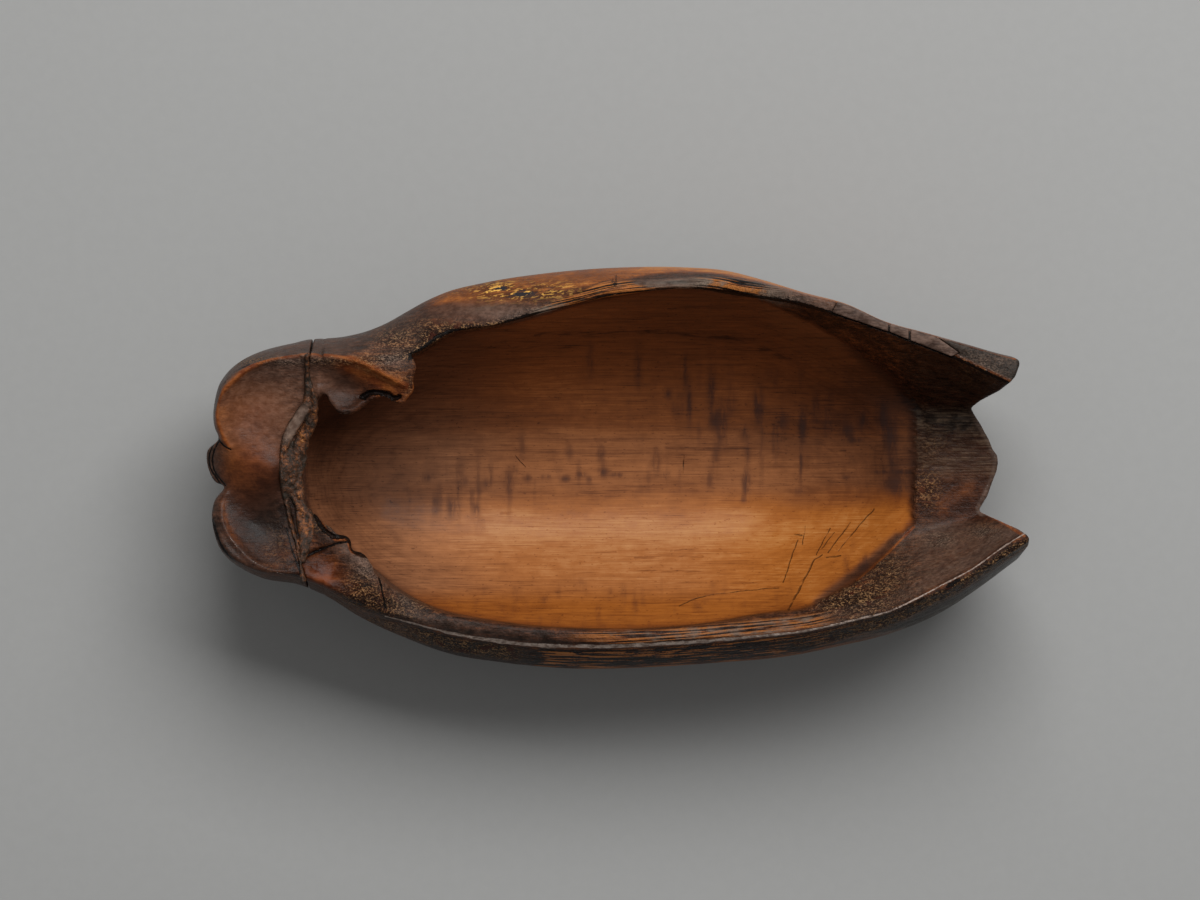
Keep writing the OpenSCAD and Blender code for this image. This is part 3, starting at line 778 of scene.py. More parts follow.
def mark_patina(piece, x, y, z, below):
    """Warmth and greyness of the old surface."""
    north_out, south_out = rim_gaps(x, y)
    warm, grey_film_and_sheen = 0.36 + 0.04 * fade(z, 10, 40), 0.1 + 0 * x
    warm, grey_film_and_sheen = north_tones(x, y, z, below, north_out, warm, grey_film_and_sheen)
    warm, grey_film_and_sheen = tail_tones(x, y, warm, grey_film_and_sheen)
    warm, grey_film_and_sheen = south_tones(x, y, z, south_out, warm, grey_film_and_sheen)

    table = np.array(head_tones)
    head, upper = fade(x, -44, -54), fade(below, 3.0, 0.8)
    on_head = head * upper
    under = head * (1 - upper)
    warm = spread(table[:, [0, 1, 2]], x, y) * on_head + 0.35 * under + warm * (1 - head)
    grey_film_and_sheen = spread(table[:, [0, 1, 3]], x, y) * on_head + 0.25 * under + grey_film_and_sheen * (1 - head)
    grey_film_and_sheen = grey_film_and_sheen * (1 - 0.9 * on_head * blob(x, y, -73, -26.5, 5, 4))
    warm = warm + on_head * 0.1 * stroke(x, y, lobe_edge_north, 2.4)
    warm = warm + on_head * 0.22 * stroke(x, y, [[-69, 26], [-62, 23.2], [-55, 19.8]], 1.6)
    warm = warm + on_head * 0.2 * stroke(x, y, [[-98, -8], [-97.6, -12.6], [-94.8, -18.4]], 1.0)
    mark_share(piece, "tone", warm, 0.95)
    mark_share(piece, "grey_film_and_sheen", grey_film_and_sheen, 0.9)
    ruddy = patches(x, y, [[-73, -26.8, 3.8, 3.2, 0.85], [-91, 2, 6, 5, 0.4], [-90, 13, 7, 7, 0.3]])
    ruddy = ruddy + 0.8 * stroke(x, y, [[-68, 25.6], [-62, 22.6], [-54, 19.2]], 1.5)
    mark(piece, "ruddy", np.clip(ruddy, 0, 1) * on_head)


def mark_wear(piece, x, y, below, lining):
    """Where the surface is worn pale or fibrous."""
    north_out, south_out = rim_gaps(x, y)
    middle = tail_middle(x, y)
    fibrous = 0.6 * middle * fade(y, -5, 1) + 0.36 * south_facet(x, y, south_out) * fade(x, 60, 72)
    fibrous = fibrous + 0.15 * inner_wing(x, y, north_out) * fade(x, 64, 76)
    mark_share(piece, "fibrous", fibrous * (1 - lining))
    worn = 0.7 * blob(x, y, 87, 13, 2.4, 2) * middle + 0.9 * blob(x, y, 13.5, 46.3, 7, 0.9)
    mark(piece, "worn", np.clip(worn, 0, 1) * fade(below, 3.0, 0.8))


def nearest(x, y, lines):
    """Distance to the nearest of some lines, each measured in its own half width."""
    best = np.full(x.shape, 3.0)
    for width, line in lines:
        best = np.minimum(best, distance(x, y, np.array(line, float)) / width)
    return best


# Narrow lines in plan: (half width, points). Most dark ones are cracks and cuts; those along the north
# fold's gap and the south fold's crack and right edge are painted shade. The light ones are worn edges
# and painted highlights.
dark_lines = [
    (0.2, nose_rings[0]), (0.2, nose_rings[1]), (0.22, nose_rings[2]), (0.28, side_cuts[0]),
    (0.28, side_cuts[1]), (0.3, side_cuts[2]), (0.75, fold_gap), (0.6, fold_crack),
    (0.28, fold_groove), (0.35, [[-77, 30], [-76.8, 27.6], [-77.2, 25]]),
    (0.4, [[-79.4, -24], [-78.4, -26.6], [-78.4, -29]]),
    (0.2, [[-82.4, -15], [-81, -20], [-79.4, -24.4]]), (0.5, [[-3.3, 47.2], [-3.2, 48.4]]),
    (0.6, [[-0.6, 45.8], [-0.4, 48.2]]), (0.5, [[82, -29.4], [84.6, -27.8]]),
    (0.25, [[-59.8, -25], [-58.6, -29.6], [-57.6, -34.6]])]
wear_and_highlight_lines = [
    (0.15, [[-97.6, -15.6], [-94, -20.2], [-90.2, -23.4], [-85.3, -25.7], [-79.6, -27.2]]),
    (0.14, fold_lip_north - [0, 0.6]), (0.3, [[85, 27.7], [90, 25.2], [96.6, 21.4]]),
    (0.22, [[94.6, 1], [93.4, -3.4], [91.8, -7], [90.2, -9.6]]), (0.25, [[43.4, -35], [50, -23.4]])]
seam_ridge = [[60, -27.9], [68, -21.2], [74.5, -14.8]]
orange_lines = [
    (0.75, lobe_edge_north[:46]), (0.9, lobe_edge_north[46:]),
    (0.5, [[60, 40.2], [84, 31.7], [98.6, 27.3]]), (0.45, [[92, -11], [96, -13.3], [100.8, -16.8]]),
    (0.32, seam_ridge),
    (0.4, [[-74.6, -12.4], [-72, -16], [-70, -17.9], [-67.2, -17.8], [-66, -20.8], [-63, -22]]),
    (0.4, [[-50.4, 22], [-50.6, 19], [-52.4, 17]]),
    (0.8, [[-67, 24.8], [-61.5, 22.4], [-56, 19.4]])]


def mark_lines(piece, x, y, z, below):
    """How far each place is from the narrow dark, light and orange lines. The light lines are worn
    edges and painted highlights, and some dark lines are painted shade.
    """
    north_out, south_out = rim_gaps(x, y)
    deep = 3 * fade(z, 34, 30)
    # Painted highlight along the south rim's inner crest, which is also worn pale.
    crest_highlight_width = np.interp(x, [-58, -44, -30, 30, 55, 75], [0.1, 0.35, 0.55, 0.45, 0.28, 0.2])
    crest = np.where((y < 0) & (x > -58), np.abs(south_out + 0.1), 3) / crest_highlight_width + deep
    pitted_width = np.interp(x, [-50, -24, -18, 18, 30, 50], [0.8, 0.6, 0.1, 0.1, 0.6, 0.4])
    pitted = np.where((y > 0) & (x > -52), np.abs(north_out + 0.1), 3) / pitted_width + deep
    under = 3 * fade(below, 1.0, 3.0)
    mark(piece, "dark_line", np.minimum(nearest(x, y, dark_lines), pitted) + under)
    mark(piece, "wear_and_highlight_line", np.minimum(nearest(x, y, wear_and_highlight_lines) + 0.7 + under, crest))
    mark(piece, "orange_line", nearest(x, y, orange_lines) + under)


def mark_bands(piece, x, y, z, below, lining):
    """Where the fine rim lines, the streaks and the gilt flakes lie."""
    north_out, south_out = rim_gaps(x, y)
    north, south = y > 0, y < 0
    mark(piece, "rim_way", np.where(north, north_out, south_out))
    reach = along([[-60, 0.6], [-20, 0.8], [-10, 2.4], [0, 4.1], [30, 3.9], [60, 2]], x)
    band = fade(below, 3.2, 1.2) * fade(x, -24, -18) * fade(x, 46, 32) * north
    band = band * fade(north_out, reach + 0.4, reach)
    block = blob(x, y, 12, 46.4, 9.5, 1.3)
    band = band * (1 - 0.85 * fade(block, 0.3, 0.6))
    face = 0.3 * fade(north_out, 4, 5.5) * fade(below, 4, 2) * fade(x, -48, -40) * fade(x, 0, -8)
    ledge = fade(south_out, -4.6, -3.4) * fade(south_out, -0.3, -0.9) * south
    ledge = ledge * fade(x, -16, 0) * fade(x, 56, 48)
    lines = np.clip(np.maximum(band, face) + 0.8 * ledge, 0, 1)
    mark(piece, "rim_lines", lines * (1 - lining))
    wall = fade(south_out, 0.5, 1.2) * fade(z, 28, 34) * south * fade(x, -26, -18) * fade(x, 70, 34)
    wall = wall * (0.8 + 0.4 * noise(x, y, z, (12, 5, 4), 67))
    mark(piece, "streaks", np.clip(wall, 0, 1) * (1 - lining))
    patch = blob(x, y, -25, 44.4, 11, 1.9) * fade(layered(x, y, z, (6, 1.2, 1.2), 61), -0.5, 0.0)
    mark_share(piece, "flaked", patch * 1.5)


# Crusts and smooth places, as patches.
crusts = [
    [-47, 32, 5, 4, 0.9], [-63, -27, 3.6, 4, 0.7], [-63, -33, 7, 3, 0.6], [-73, -13, 3, 2.4, 0.7],
    [-52, -34, 6, 3, 0.6], [-59, 26, 5, 3, 0.6], [-56, 32, 4, 3, 0.7], [-52, 20.6, 1.6, 1.6, 0.8],
    [-84, -20, 5, 5, 0.15], [60, -33, 10, 4.4, 1], [92, -16, 3, 1.6, 1], [81, -18, 4, 1.8, 0.8],
    [68, -26, 5, 4, 0.7], [92, 26, 7, 4, 0.45], [78, -5, 3, 5, 0.5], [79, 6, 4, 4, 0.3]]
smooth_patches = [
    [-90, 14, 12, 13, 0.9], [-92, -2, 9, 6, 0.9], [-89, -15, 10, 11, 0.7], [-68, 21, 8, 6, 0.8],
    [-73, -27, 5, 4, 0.8], [-34, 39.5, 14, 3, 0.6], [-8, 47, 14, 3, 0.3]]


def mark_crust(piece, x, y, z, below, lining):
    """Where crusts lie, and how coarse the surface is."""
    north_out, south_out = rim_gaps(x, y)
    speckled = fade(south_out, 0.6, 1.4) * fade(south_out, 5, 4) * fade(z, 30, 36) * (y < 0)
    edge = np.exp(-((north_out - 0.7) / 1.1) ** 2) * (y > 0)
    crust = patches(x, y, crusts) + 0.8 * speckled * (fade(x, 30, 50) + fade(x, -20, -30))
    crust = crust + 0.8 * edge * (fade(x, -16, -24) + fade(x, 16, 24) * fade(x, 50, 44))
    crust = np.clip(crust, 0, 1)
    mark(piece, "crust", crust * (1 - lining))
    smooth = patches(x, y, smooth_patches) + 0.6 * fade(z, 30, 20) + 0.35 * fade(below, 2, 6)
    smooth = smooth + 0.35 * fade(x, 74, 78) * fade(south_out, 0, -1)
    mark(piece, "coarse", np.clip(0.8 - smooth + 0.3 * crust, 0.1, 1))


golden_crumbs = [
    [-78.4, 7.4, 2.2, 3, 0.9], [-75.4, 15, 1.8, 4, 0.7], [-78.8, -6, 1.2, 4, 0.6],
    [-77.6, -14.5, 2.6, 5, 0.5], [-82, 2, 1.6, 4, 0.35]]


def mark_resin(piece):
    x, y, z = vertex_numbers(piece, "co").T / MM
    bead = distance(x, y, bead_line)
    mark(piece, "smooth", fade(bead, 1.6, 0.8) * fade(y, 5, 9) * fade(y, 17, 14))
    mark_share(piece, "golden", patches(x, y, golden_crumbs))


def mark_wood(piece):
    x, y, z = vertex_numbers(piece, "co").T / MM
    facing = vertex_numbers(piece, "normal")[:, 2]
    below = carved_top(x, y) - z
    inside = signed(x, y, cavity_outline)
    lining = lining_share(x, y, z, facing, below, inside)
    mark_lining(piece, x, y, z, inside, lining)
    mark_patina(piece, x, y, z, below)
    mark_wear(piece, x, y, below, lining)
    mark_bands(piece, x, y, z, below, lining)
    mark_crust(piece, x, y, z, below, lining)
    mark_lines(piece, x, y, z, below)


# ---------------------------------------------------------------- materials


class Paint:
    """A material's node tree, built with short calls."""

    def __init__(self, name):
        self.material = bpy.data.materials.new(name)
        self.material.use_nodes = True
        self.tree = self.material.node_tree
        self.tree.nodes.clear()
        self.shader = self.node("BsdfPrincipled")
        self.link(self.shader.outputs[0], self.node("OutputMaterial").inputs[0])
        scale = self.vector("SCALE", self.node("TexCoord").outputs["Object"])
        scale.inputs["Scale"].default_value = 1 / MM
        self.place = scale.outputs[0]
        self.moved = None

    def node(self, kind, **settings):
        made = self.tree.nodes.new("ShaderNode" + kind)
        for key, value in settings.items():
            setattr(made, key, value)
        return made

    def link(self, source, target):
        if isinstance(source, bpy.types.NodeSocket):
            self.tree.links.new(source, target)
        elif isinstance(source, tuple) and target.type == "RGBA":
            target.default_value = (*source, 1)
        else:
            target.default_value = source

    def fill(self, made, values):
        """Sets or links a node's first inputs."""
        for value, socket in zip(values, made.inputs):
            self.link(value, socket)
        return made

    def vector(self, operation, *values):
        return self.fill(self.node("VectorMath", operation=operation), values)

    def math(self, operation, *values):
        return self.fill(self.node("Math", operation=operation), values).outputs[0]

    def times(self, a, b):
        return self.math("MULTIPLY", a, b)

    def plus(self, start, value, share):
        """Start plus share times value."""
        return self.math("MULTIPLY_ADD", value, share, start)

    def total(self, start, *terms):
        """Start plus each share times how far its noise is from the middle."""
        for value, share in terms:
            start = self.plus(start, self.math("SUBTRACT", value, 0.5), share)
        return start

    def mix(self, share, a, b):
        made = self.node("Mix", data_type="RGBA", clamp_factor=True)
        for value, number in ((share, 0), (a, 6), (b, 7)):
            self.link(value, made.inputs[number])
        return made.outputs[2]

    def ramp(self, value, low, high, start=0.0, end=1.0):
        made = self.node("MapRange", interpolation_type="SMOOTHSTEP")
        return self.fill(made, (value, low, high, start, end)).outputs[0]

    def between(self, value, low, high, first, second):
        """First color at low, second color at high."""
        return self.mix(self.ramp(value, low, high), first, second)

    def texture(self, place, detail, roughness=0.5, warp=0.0):
        made = self.node("TexNoise")
        self.link(place, made.inputs["Vector"])
        made.inputs["Scale"].default_value = 1.0
        made.inputs["Detail"].default_value = detail
        made.inputs["Roughness"].default_value = roughness
        made.inputs["Distortion"].default_value = warp
        return made

    def noise(self, lengths, *settings):
        """Noise whose lumps have the given lengths in millimetres."""
        place = self.vector("DIVIDE", self.place, lengths).outputs[0]
        return self.texture(place, *settings).outputs["Fac"]

    def mark(self, name):
        return self.node("Attribute", attribute_name=name).outputs["Fac"]

    def colors(self, value, stops):
        """Color picked by a number: stops are (number, color)."""
        made = self.node("ValToRGB")
        elements = made.color_ramp.elements
        while len(elements) < len(stops):
            elements.new(0.5)
        for element, (number, color) in zip(elements, stops):
            element.position = number
            element.color = (*color, 1)
        self.link(value, made.inputs[0])
        return made.outputs["Color"]

    def flow(self, name, length, width, detail, height=1000.0):
        """Streaks that run along X and keep to the levels of a mark."""
        parts = self.node("SeparateXYZ")
        self.link(self.place, parts.inputs[0])
        pairs = ((parts.outputs[0], length), (self.mark(name), width), (parts.outputs[2], height))
        joined = self.fill(self.node("CombineXYZ"), [self.math("DIVIDE", *pair) for pair in pairs])
        return self.texture(joined.outputs[0], detail).outputs["Fac"]

    def rings(self, centre, spacing, warp):
        """Growth rings: waves of distance from a long axis, bent by noise."""
        flat = self.vector("MULTIPLY_ADD", self.place, (0.04, 1, 1), centre)
        length = self.vector("LENGTH", flat.outputs[0]).outputs["Value"]
        bent = self.plus(length, self.noise((60, 9, 9), 2), warp)
        return self.math("SINE", self.times(bent, 2 * math.pi / spacing))

    def shaky(self):
        """Places moved a little by noise, so that lines drawn there are not quite straight."""
        if self.moved is None:
            place = self.vector("DIVIDE", self.place, (2.5, 2.5, 2.5)).outputs[0]
            shake = self.texture(place, 2).outputs["Color"]
            self.moved = self.vector("MULTIPLY_ADD", shake, (0.6, 0.6, 0), self.place).outputs[0]
        return self.moved

    def scratch(self, start, end, width):
        """From 0 to 1: how near each place is, in plan, to a thin straight line."""
        flat = self.vector("MULTIPLY", self.shaky(), (1, 1, 0)).outputs[0]
        from_start = self.vector("SUBTRACT", flat, (*start, 0)).outputs[0]
        way = (end[0] - start[0], end[1] - start[1], 0)
        dot = self.vector("DOT_PRODUCT", from_start, way).outputs["Value"]
        share = self.math("DIVIDE", dot, way[0] ** 2 + way[1] ** 2)
        share = self.math("MINIMUM", self.math("MAXIMUM", share, 0.0), 1.0)
        step = self.vector("SCALE", way)
        self.link(share, step.inputs["Scale"])
        gap = self.vector("DISTANCE", from_start, step.outputs[0]).outputs["Value"]
        return self.ramp(gap, width, width * 0.3)

    def relief(self, *layers):
        """Bump layers: heights from 0 to 1, each with its depth in millimetres."""
        normal = None
        for height, depth in layers:
            made = self.node("Bump")
            made.inputs["Strength"].default_value = 1.0
            made.inputs["Distance"].default_value = depth * MM
            self.link(height, made.inputs["Height"])
            if normal is not None:
                self.link(normal, made.inputs["Normal"])
            normal = made.outputs[0]
        return normal

    def finish(self, color, roughness, normal, **fixed):
        self.link(color, self.shader.inputs["Base Color"])
        self.link(roughness, self.shader.inputs["Roughness"])
        self.link(normal, self.shader.inputs["Normal"])
        for key, value in fixed.items():
            self.shader.inputs[key.replace("_", " ")].default_value = value
        return self.material


# Scratches and dark runs in the lining: (start, end, width), in plan.
scratches = [
    ((42, -28.5), (46, -18), 0.3), ((47.2, -19), (47.8, -14.5), 0.25), ((43, -35), (46, -30), 0.55),
    ((46, -30), (50, -22.8), 0.5), ((50.5, -21.5), (54, -15), 0.28), ((52, -20), (55, -16), 0.25),
    ((53.5, -21), (59, -13.5), 0.28), ((56, -20.5), (65, -10), 0.3),
    ((50.2, -22.6), (52, -21.6), 0.4), ((53, -22.3), (56.5, -21.8), 0.4),
    ((15.8, -34.4), (19, -32.7), 0.32), ((19, -32.7), (24, -31.5), 0.32),
    ((24, -31.5), (33, -30.5), 0.26), ((33, -30.5), (41, -29.8), 0.22),
    ((17.4, 3.4), (17.1, -1.2), 0.35), ((-25.5, 3.4), (-22.8, 0.4), 0.28),
    ((45, -16.6), (47, -16.7), 0.4), ((-1.2, 45.6), (-0.9, 47.4), 0.6), ((0, 46), (0, 48.3), 0.5)]
dark_runs = [
    ((10, 5.3), (38, 5.2), 0.35), ((51, 4.7), (58, 4.6), 0.3), ((3, -20.4), (8, -20.2), 0.3),
    ((-5, -21.2), (0, -21), 0.3), ((15, -20.6), (22, -20.3), 0.3), ((5, -22.4), (22, -22), 0.35),
    ((3, -25.8), (30, -25.7), 0.35), ((-29, -11.2), (-24, -11.3), 0.35),
    ((-20, 33.6), (8, 34.8), 0.7), ((8, 34.8), (28, 33), 0.7), ((28, 33), (44, 28), 0.7),
    ((-30, 30.4), (-6, 31), 0.5)]
# Color ramps from dark to light: of the old surface, of the clear lining and of its parts with dust and
# painted sheen.
old_colors = [
    (0.0, (0.002, 0.0014, 0.0012)), (0.2, (0.009, 0.0038, 0.0024)), (0.4, (0.044, 0.0138, 0.006)),
    (0.55, (0.104, 0.0315, 0.0105)), (0.7, (0.21, 0.064, 0.017)), (0.85, (0.36, 0.115, 0.027)),
    (1.0, (0.52, 0.21, 0.055))]
lining_colors = [
    (0.0, (0.006, 0.003, 0.0024)), (0.2, (0.028, 0.0098, 0.006)), (0.4, (0.085, 0.026, 0.0105)),
    (0.6, (0.21, 0.056, 0.0095)), (0.8, (0.4, 0.125, 0.02)), (1.0, (0.6, 0.28, 0.085))]
dust_and_sheen_colors = [
    (0.0, (0.007, 0.004, 0.003)), (0.2, (0.027, 0.012, 0.0075)), (0.4, (0.085, 0.033, 0.0165)),
    (0.6, (0.2, 0.082, 0.038)), (0.8, (0.4, 0.17, 0.075)), (1.0, (0.6, 0.32, 0.17))]


class WoodPaint(Paint):
    """The carving's wood: an old patina outside and a clear lining inside."""

    def __init__(self, name):
        super().__init__(name)
        self.broad = self.noise((40, 12, 12), 3)
        self.grain = self.noise((22, 0.6, 1.4), 4, 0.6)
        self.fine = self.noise((7, 0.28, 0.7), 3, 0.62)
        self.mottle = self.noise((3.4, 2.6, 2.6), 5, 0.62)
        self.specks = self.noise((0.55, 0.45, 0.45), 2, 0.7)
        self.pores = self.noise((1.6, 1.1, 1.1), 3, 0.6)
        self.lining_fine = self.noise((9, 0.2, 12), 3, 0.65)
        self.lines = self.flow("rim_way", 22, 0.45, 2)
        self.streaks = self.flow("rim_way", 9, 0.42, 3, 1.5)
        self.crumb_share = self.times(self.mark("crust"), self.ramp(self.mottle, 0.36, 0.58, 0.2, 0.9))

    def old_surface(self):
        """The patina, with its grey film (dust in part, painted sheen in part), red-brown places and
        worn places.
        """
        p, mottle, pores = self, self.mottle, self.pores
        rough_tone = p.total(0.0, (mottle, 0.8), (p.grain, 0.9), (p.fine, 0.5), (p.specks, 0.8))
        tone = p.total(p.mark("tone"), (mottle, 0.24), (p.broad, 0.34), (pores, 0.16))
        color = p.colors(p.plus(tone, rough_tone, p.mark("coarse")), old_colors)
        brownish = p.between(pores, 0.3, 0.7, (0.12, 0.072, 0.052), (0.24, 0.155, 0.118))
        greenish = p.between(pores, 0.3, 0.7, (0.016, 0.014, 0.011), (0.05, 0.044, 0.036))
        film_and_sheen = p.between(p.mark("grey_film_and_sheen"), 0.62, 0.78, brownish, greenish)
        color = p.mix(p.times(p.mark("grey_film_and_sheen"), p.ramp(mottle, 0.25, 0.7, 0.6, 1.1)), color, film_and_sheen)
        ruddy = p.between(mottle, 0.35, 0.65, (0.07, 0.013, 0.005), (0.2, 0.048, 0.014))
        color = p.mix(p.mark("ruddy"), color, ruddy)
        worn = p.times(p.mark("worn"), p.ramp(p.total(mottle, (p.grain, 1.0)), 0.34, 0.56))
        return p.mix(p.times(worn, 0.85), color, (0.14, 0.117, 0.098))

    def with_crumbs(self, color):
        """Adds the crusts and the straw-colored fibres."""
        p, mottle = self, self.mottle
        mixed = p.total(p.specks, (p.pores, 0.4))
        crumbs = p.between(mixed, 0.5, 0.64, (0.02, 0.008, 0.005), (0.56, 0.31, 0.135))
        crumbs = p.between(mottle, 0.56, 0.64, crumbs, (0.05, 0.011, 0.006))
        dusted = p.between(p.specks, 0.4, 0.66, (0.025, 0.018, 0.015), (0.32, 0.22, 0.165))
        crumbs = p.between(p.mark("grey_film_and_sheen"), 0.1, 0.5, crumbs, dusted)
        color = p.mix(p.crumb_share, color, crumbs)
        fibre = p.noise((9, 0.4, 0.7), 3, 0.6)
        straw = p.between(fibre, 0.4, 0.66, (0.022, 0.012, 0.008), (0.15, 0.098, 0.062))
        return p.mix(p.times(p.mark("fibrous"), p.ramp(mottle, 0.34, 0.6, 0.2, 1)), color, straw)

    def with_bands(self, color):
        """Adds the fine rim lines, the streaks on the south wall and the gilt flakes."""
        p, mottle, specks = self, self.mottle, self.specks
        lines = p.total(p.lines, (p.fine, 0.15))
        brown = p.colors(p.ramp(lines, 0.42, 0.54, 0.06, 0.9), old_colors)
        lined = p.between(lines, 0.38, 0.47, (0.014, 0.01, 0.008), (0.2, 0.145, 0.108))
        lined = p.between(p.total(p.mark("grey_film_and_sheen"), (mottle, 0.8)), 0.15, 0.4, brown, lined)
        color = p.mix(p.mark("rim_lines"), color, lined)
        streak_tone = p.ramp(p.total(p.streaks, (specks, 0.25)), 0.5, 0.6, 0.06, 0.92)
        color = p.mix(p.mark("streaks"), color, p.colors(streak_tone, old_colors))
        flakes = p.total(p.noise((2.2, 0.7, 0.7), 4, 0.62, 0.6), (specks, 0.1))
        gold = p.between(flakes, 0.54, 0.57, (0.1, 0.031, 0.01), (0.9, 0.48, 0.1))
        gone = p.total(p.mark("blot"), (flakes, -3.0))
        gold = p.between(gone, 0.3, 0.5, gold, (0.026, 0.024, 0.028))
        return p.mix(p.mark("flaked"), color, gold)

    def with_edges(self, color, ragged):
        """Adds the orange edges and the light ones, which are worn edges and painted highlights."""
        p, mottle = self, self.mottle
        mixed = p.total(mottle, (p.pores, 0.5))
        orange = p.between(mixed, 0.3, 0.7, (0.15, 0.034, 0.009), (0.38, 0.11, 0.024))
        away = p.total(p.mark("orange_line"), (ragged, 1.0), (mottle, 1.6))
        color = p.mix(p.ramp(away, 1.4, 0.3, 0, 0.85), color, orange)
        # Pale lines: worn edges, and painted highlights along the crests.
        pale = p.between(p.pores, 0.3, 0.65, (0.2, 0.135, 0.105), (0.56, 0.44, 0.37))
        away = p.total(p.mark("wear_and_highlight_line"), (ragged, 0.8), (mottle, 2.0), (p.grain, 1.6))
        return p.mix(p.ramp(away, 1.05, 0.6, 0, 0.95), color, pale)

    def clear_lining(self):
        """The amber lining, with its growth rings, hairs, nicks, dark runs and smudges."""
        p, fine = self, self.lining_fine
        across = p.noise((1.3, 6, 6), 3, 0.6)
        smudge = p.times(p.ramp(across, 0.34, 0.54, 0.3, 1), p.ramp(fine, 0.3, 0.55, 0.6, 1))
        smudge = p.times(p.mark("blot"), smudge)
        grain = p.noise((34, 0.5, 14), 4, 0.6)
        warmth = p.total(p.mark("warmth"), (p.broad, 0.3), (grain, 0.2), (fine, 0.26), (p.mottle, 0.2))
        warmth = p.plus(warmth, smudge, -0.3)
        warmth = p.plus(warmth, p.ramp(p.rings((0, 14, 52), 2.1, 9), 0.2, 1.0), -0.025)
        warmth = p.plus(warmth, p.ramp(p.noise((12, 0.3, 9), 2, 0.5), 0.6, 0.7), -0.12)
        warmth = p.plus(warmth, p.ramp(p.noise((1.2, 0.45, 6), 2, 0.6), 0.64, 0.7), -0.12)
        broken = p.ramp(p.noise((5, 1, 1), 2), 0.42, 0.62)
        for start, end, width in dark_runs:
            warmth = p.plus(warmth, p.times(p.scratch(start, end, width * 1.3), broken), -0.13)
        amber = p.colors(warmth, lining_colors)
        amber = p.mix(p.mark("dust_and_sheen"), amber, p.colors(warmth, dust_and_sheen_colors))
        return p.mix(p.times(smudge, 0.6), amber, (0.075, 0.038, 0.03))

    def cuts(self):
        """From 0 to 1: how near the scratches are."""
        cuts = 0.0
        for start, end, width in scratches:
            cuts = self.math("MAXIMUM", cuts, self.scratch(start, end, width * 0.55))
        return self.times(cuts, self.ramp(self.noise((3, 3, 3), 2), 0.34, 0.56, 0.2, 0.9))

    def depths(self, amber_share, black, cuts):
        """The relief: grain, lumps and specks outside, and lines and scratches everywhere."""
        p, pores = self, self.pores
        plain = p.math("SUBTRACT", 1.0, amber_share)
        coarse = p.times(plain, p.mark("coarse"))
        grain = p.times(p.total(p.grain, (p.fine, 0.6)), p.plus(0.3, coarse, 0.7))
        grain = p.mix(amber_share, grain, p.times(p.lining_fine, 0.12))
        return p.relief(
            (grain, 0.12),
            (p.times(plain, p.total(p.mottle, (pores, 0.2))), 0.22),
            (p.times(coarse, p.total(p.mottle, (pores, 0.5))), 0.6),
            (p.times(coarse, p.specks), 0.2),
            (p.times(p.crumb_share, p.specks), 0.6),
            (p.times(p.mark("rim_lines"), p.lines), 0.7),
            (p.times(p.mark("streaks"), p.streaks), 0.4),
            (p.math("SUBTRACT", 1.0, black), 0.3),
            (p.math("SUBTRACT", 1.0, cuts), 0.35))


def wood_material(name, gloss):
    p = WoodPaint(name)
    ragged = p.total(0.5, (p.pores, 0.9), (p.specks, 0.7))
    patina = p.with_edges(p.with_bands(p.with_crumbs(p.old_surface())), ragged)
    # Near-black lines: cracks and cuts, and painted shade along the folds' gap and edges.
    away = p.total(p.mark("dark_line"), (ragged, 1.4), (p.mottle, 1.0))
    black = p.ramp(away, 1.15, 0.75)
    cuts = p.cuts()
    amber_share = p.mark("amber")
    color = p.mix(amber_share, patina, p.clear_lining())
    color = p.mix(p.times(black, 0.95), color, (0.004, 0.0028, 0.0024))
    color = p.mix(p.times(cuts, 0.75), color, (0.02, 0.009, 0.005))
    roughness = p.total(0.38, (p.mottle, 0.5), (p.specks, 0.4))
    roughness = p.plus(roughness, p.math("MAXIMUM", p.crumb_share, p.mark("flaked")), 0.2)
    roughness = p.plus(roughness, p.times(p.mark("dust_and_sheen"), amber_share), 0.2)
    return p.finish(color, roughness, p.depths(amber_share, black, cuts), IOR=1.5,
                    Specular_IOR_Level=0.1, Coat_Weight=gloss, Coat_Roughness=0.16)


def resin_material(name):
    p = Paint(name)
    lumps = p.noise((2.0, 2.0, 2.0), 5, 0.65)
    grit = p.noise((0.55, 0.55, 0.55), 3, 0.7)
    tone = p.total(p.plus(0.36, p.mark("golden"), 0.3), (lumps, 2.0), (grit, 1.3))
    color = p.mix(0.25, p.colors(tone, old_colors), (0.085, 0.06, 0.036))
    # The smooth bead is painted lighter: its brown tone with a painted highlight along its rounded
    # ridge.
    bead_tone_and_highlight = p.between(lumps, 0.3, 0.7, (0.14, 0.08, 0.056), (0.34, 0.24, 0.185))
    color = p.mix(p.times(p.mark("smooth"), 0.85), color, bead_tone_and_highlight)
    rough = p.math("SUBTRACT", 1.0, p.mark("smooth"))
    normal = p.relief((p.times(rough, lumps), 0.5), (p.times(rough, grit), 0.3))
    roughness = p.plus(p.ramp(lumps, 0.3, 0.7, 0.6, 0.45), p.mark("smooth"), -0.22)
    return p.finish(color, roughness, normal, IOR=1.48, Specular_IOR_Level=0.35)


def bedding_material():
    p = Paint("bedding_resin")
    lumps = p.noise((2.2, 2.2, 2.2), 4, 0.65)
    color = p.between(lumps, 0.3, 0.7, (0.008, 0.006, 0.005), (0.03, 0.018, 0.012))
    return p.finish(color, p.ramp(lumps, 0.3, 0.7, 0.65, 0.4), p.relief((lumps, 0.3)), IOR=1.48)


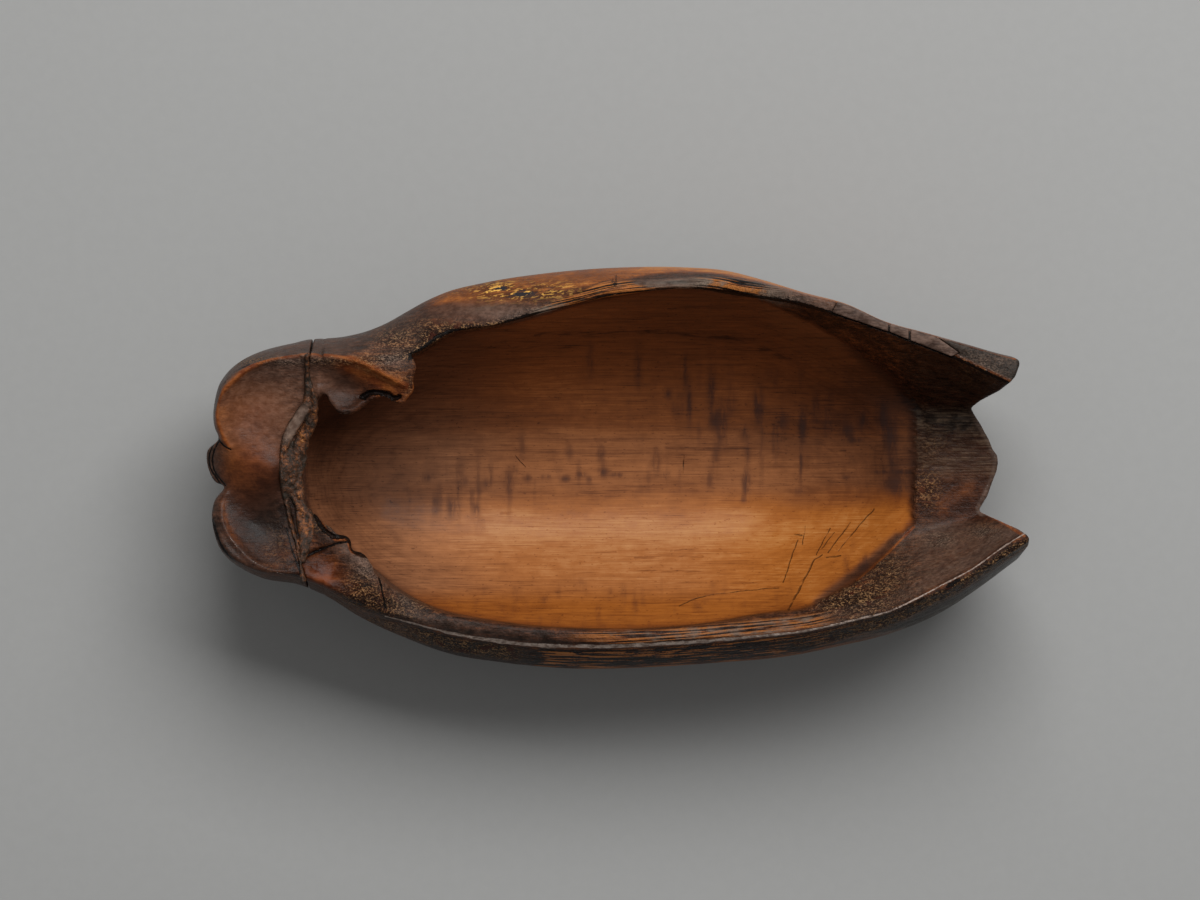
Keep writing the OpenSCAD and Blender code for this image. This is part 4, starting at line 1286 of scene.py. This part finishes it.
def splice_material():
    p = Paint("splice_wood")
    mottle = p.noise((3, 2, 2), 4, 0.6)
    grain = p.noise((9, 0.5, 0.5), 4, 0.6)
    color = p.between(mottle, 0.35, 0.65, (0.055, 0.031, 0.022), (0.165, 0.103, 0.078))
    color = p.mix(p.ramp(grain, 0.52, 0.68, 0, 0.6), color, (0.024, 0.013, 0.01))
    normal = p.relief((grain, 0.15), (mottle, 0.3))
    roughness = p.ramp(mottle, 0.3, 0.7, 0.35, 0.6)
    return p.finish(color, roughness, normal, IOR=1.5, Specular_IOR_Level=0.15)


def dowel_material():
    p = Paint("dowel_wood")
    grain = p.noise((9, 0.4, 0.4), 4, 0.6)
    color = p.between(grain, 0.35, 0.65, (0.3, 0.16, 0.07), (0.45, 0.27, 0.13))
    return p.finish(color, p.ramp(grain, 0.3, 0.7, 0.5, 0.7), p.relief((grain, 0.1)))


def floor_material():
    p = Paint("floor_paper")
    tone = p.noise((3, 3, 3), 4, 0.6)
    color = p.between(tone, 0.3, 0.7, (0.40, 0.40, 0.392), (0.41, 0.41, 0.402))
    return p.finish(color, p.ramp(tone, 0.3, 0.7, 0.9, 0.95), p.relief((tone, 0.02)))


# ---------------------------------------------------------------- pieces


def stand_for(piece, node, material):
    piece.data.materials.append(material)
    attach(piece, "root")
    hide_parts(node)


hull = build_hull()
mark_wood(hull)
stand_for(hull, "hull", wood_material("hull_wood", 0.03))

head = build_head()
mark_wood(head)
stand_for(head, "head_block", wood_material("head_wood", 0.05))

bead = build_resin()
mark_resin(bead)
stand_for(bead, "seam_resin", resin_material("bead_resin"))

splice_wood = splice_material()
for node, plan in splice_plans.items():
    stand_for(build_splice(node, plan), node, splice_wood)
stand_for(build_splice_resin(), "splice_resin", bedding_material())

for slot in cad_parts["head_dowels"].material_slots:
    slot.material = dowel_material()

# ---------------------------------------------------------------- floor, light and camera

center = (cad_bounds[0] + cad_bounds[1]) / 2
bpy.ops.mesh.primitive_plane_add(size=8, location=(0, 0, 0))
floor = bpy.context.active_object
floor.name = "floor"
floor.data.materials.append(floor_material())


def soft_light(name, direction, away, size, power):
    lamp = bpy.data.lights.new(name, "AREA")
    lamp.shape = "RECTANGLE"
    lamp.size, lamp.size_y = size
    lamp.energy = power
    holder = bpy.data.objects.new(name, lamp)
    spot = Vector(direction).normalized() * away
    holder.location = center + spot
    holder.rotation_euler = spot.to_track_quat("Z", "Y").to_euler()
    bpy.context.scene.collection.objects.link(holder)


SKY_STRENGTH = 0.2
soft_light("key", (0.22, 0.6, 0.77), 1.3, (1.15, 0.7), 16.6)
world = bpy.data.worlds.new("studio")
world.use_nodes = True
sky = world.node_tree.nodes["Background"]
sky.inputs["Color"].default_value = (1, 1, 1, 1)
sky.inputs["Strength"].default_value = SKY_STRENGTH
bpy.context.scene.world = world

VIEW_WIDTH = 0.3                    # width of what the photo shows, in metres
VIEW_HEIGHT = 2.0
RIM_LEVEL = 0.035
PHOTO_MIDDLE = (-0.00425, 0.0045)   # place in plan at the middle of the photo
SENSOR = 36
camera = bpy.data.cameras.new("camera")
camera.sensor_width = SENSOR
camera.lens = SENSOR * (VIEW_HEIGHT - RIM_LEVEL) / VIEW_WIDTH
camera.clip_end = 10
eye = bpy.data.objects.new("camera", camera)
eye.location = (*PHOTO_MIDDLE, VIEW_HEIGHT)
bpy.context.scene.collection.objects.link(eye)
bpy.context.scene.camera = eye
bpy.context.scene.view_settings.view_transform = "Standard"
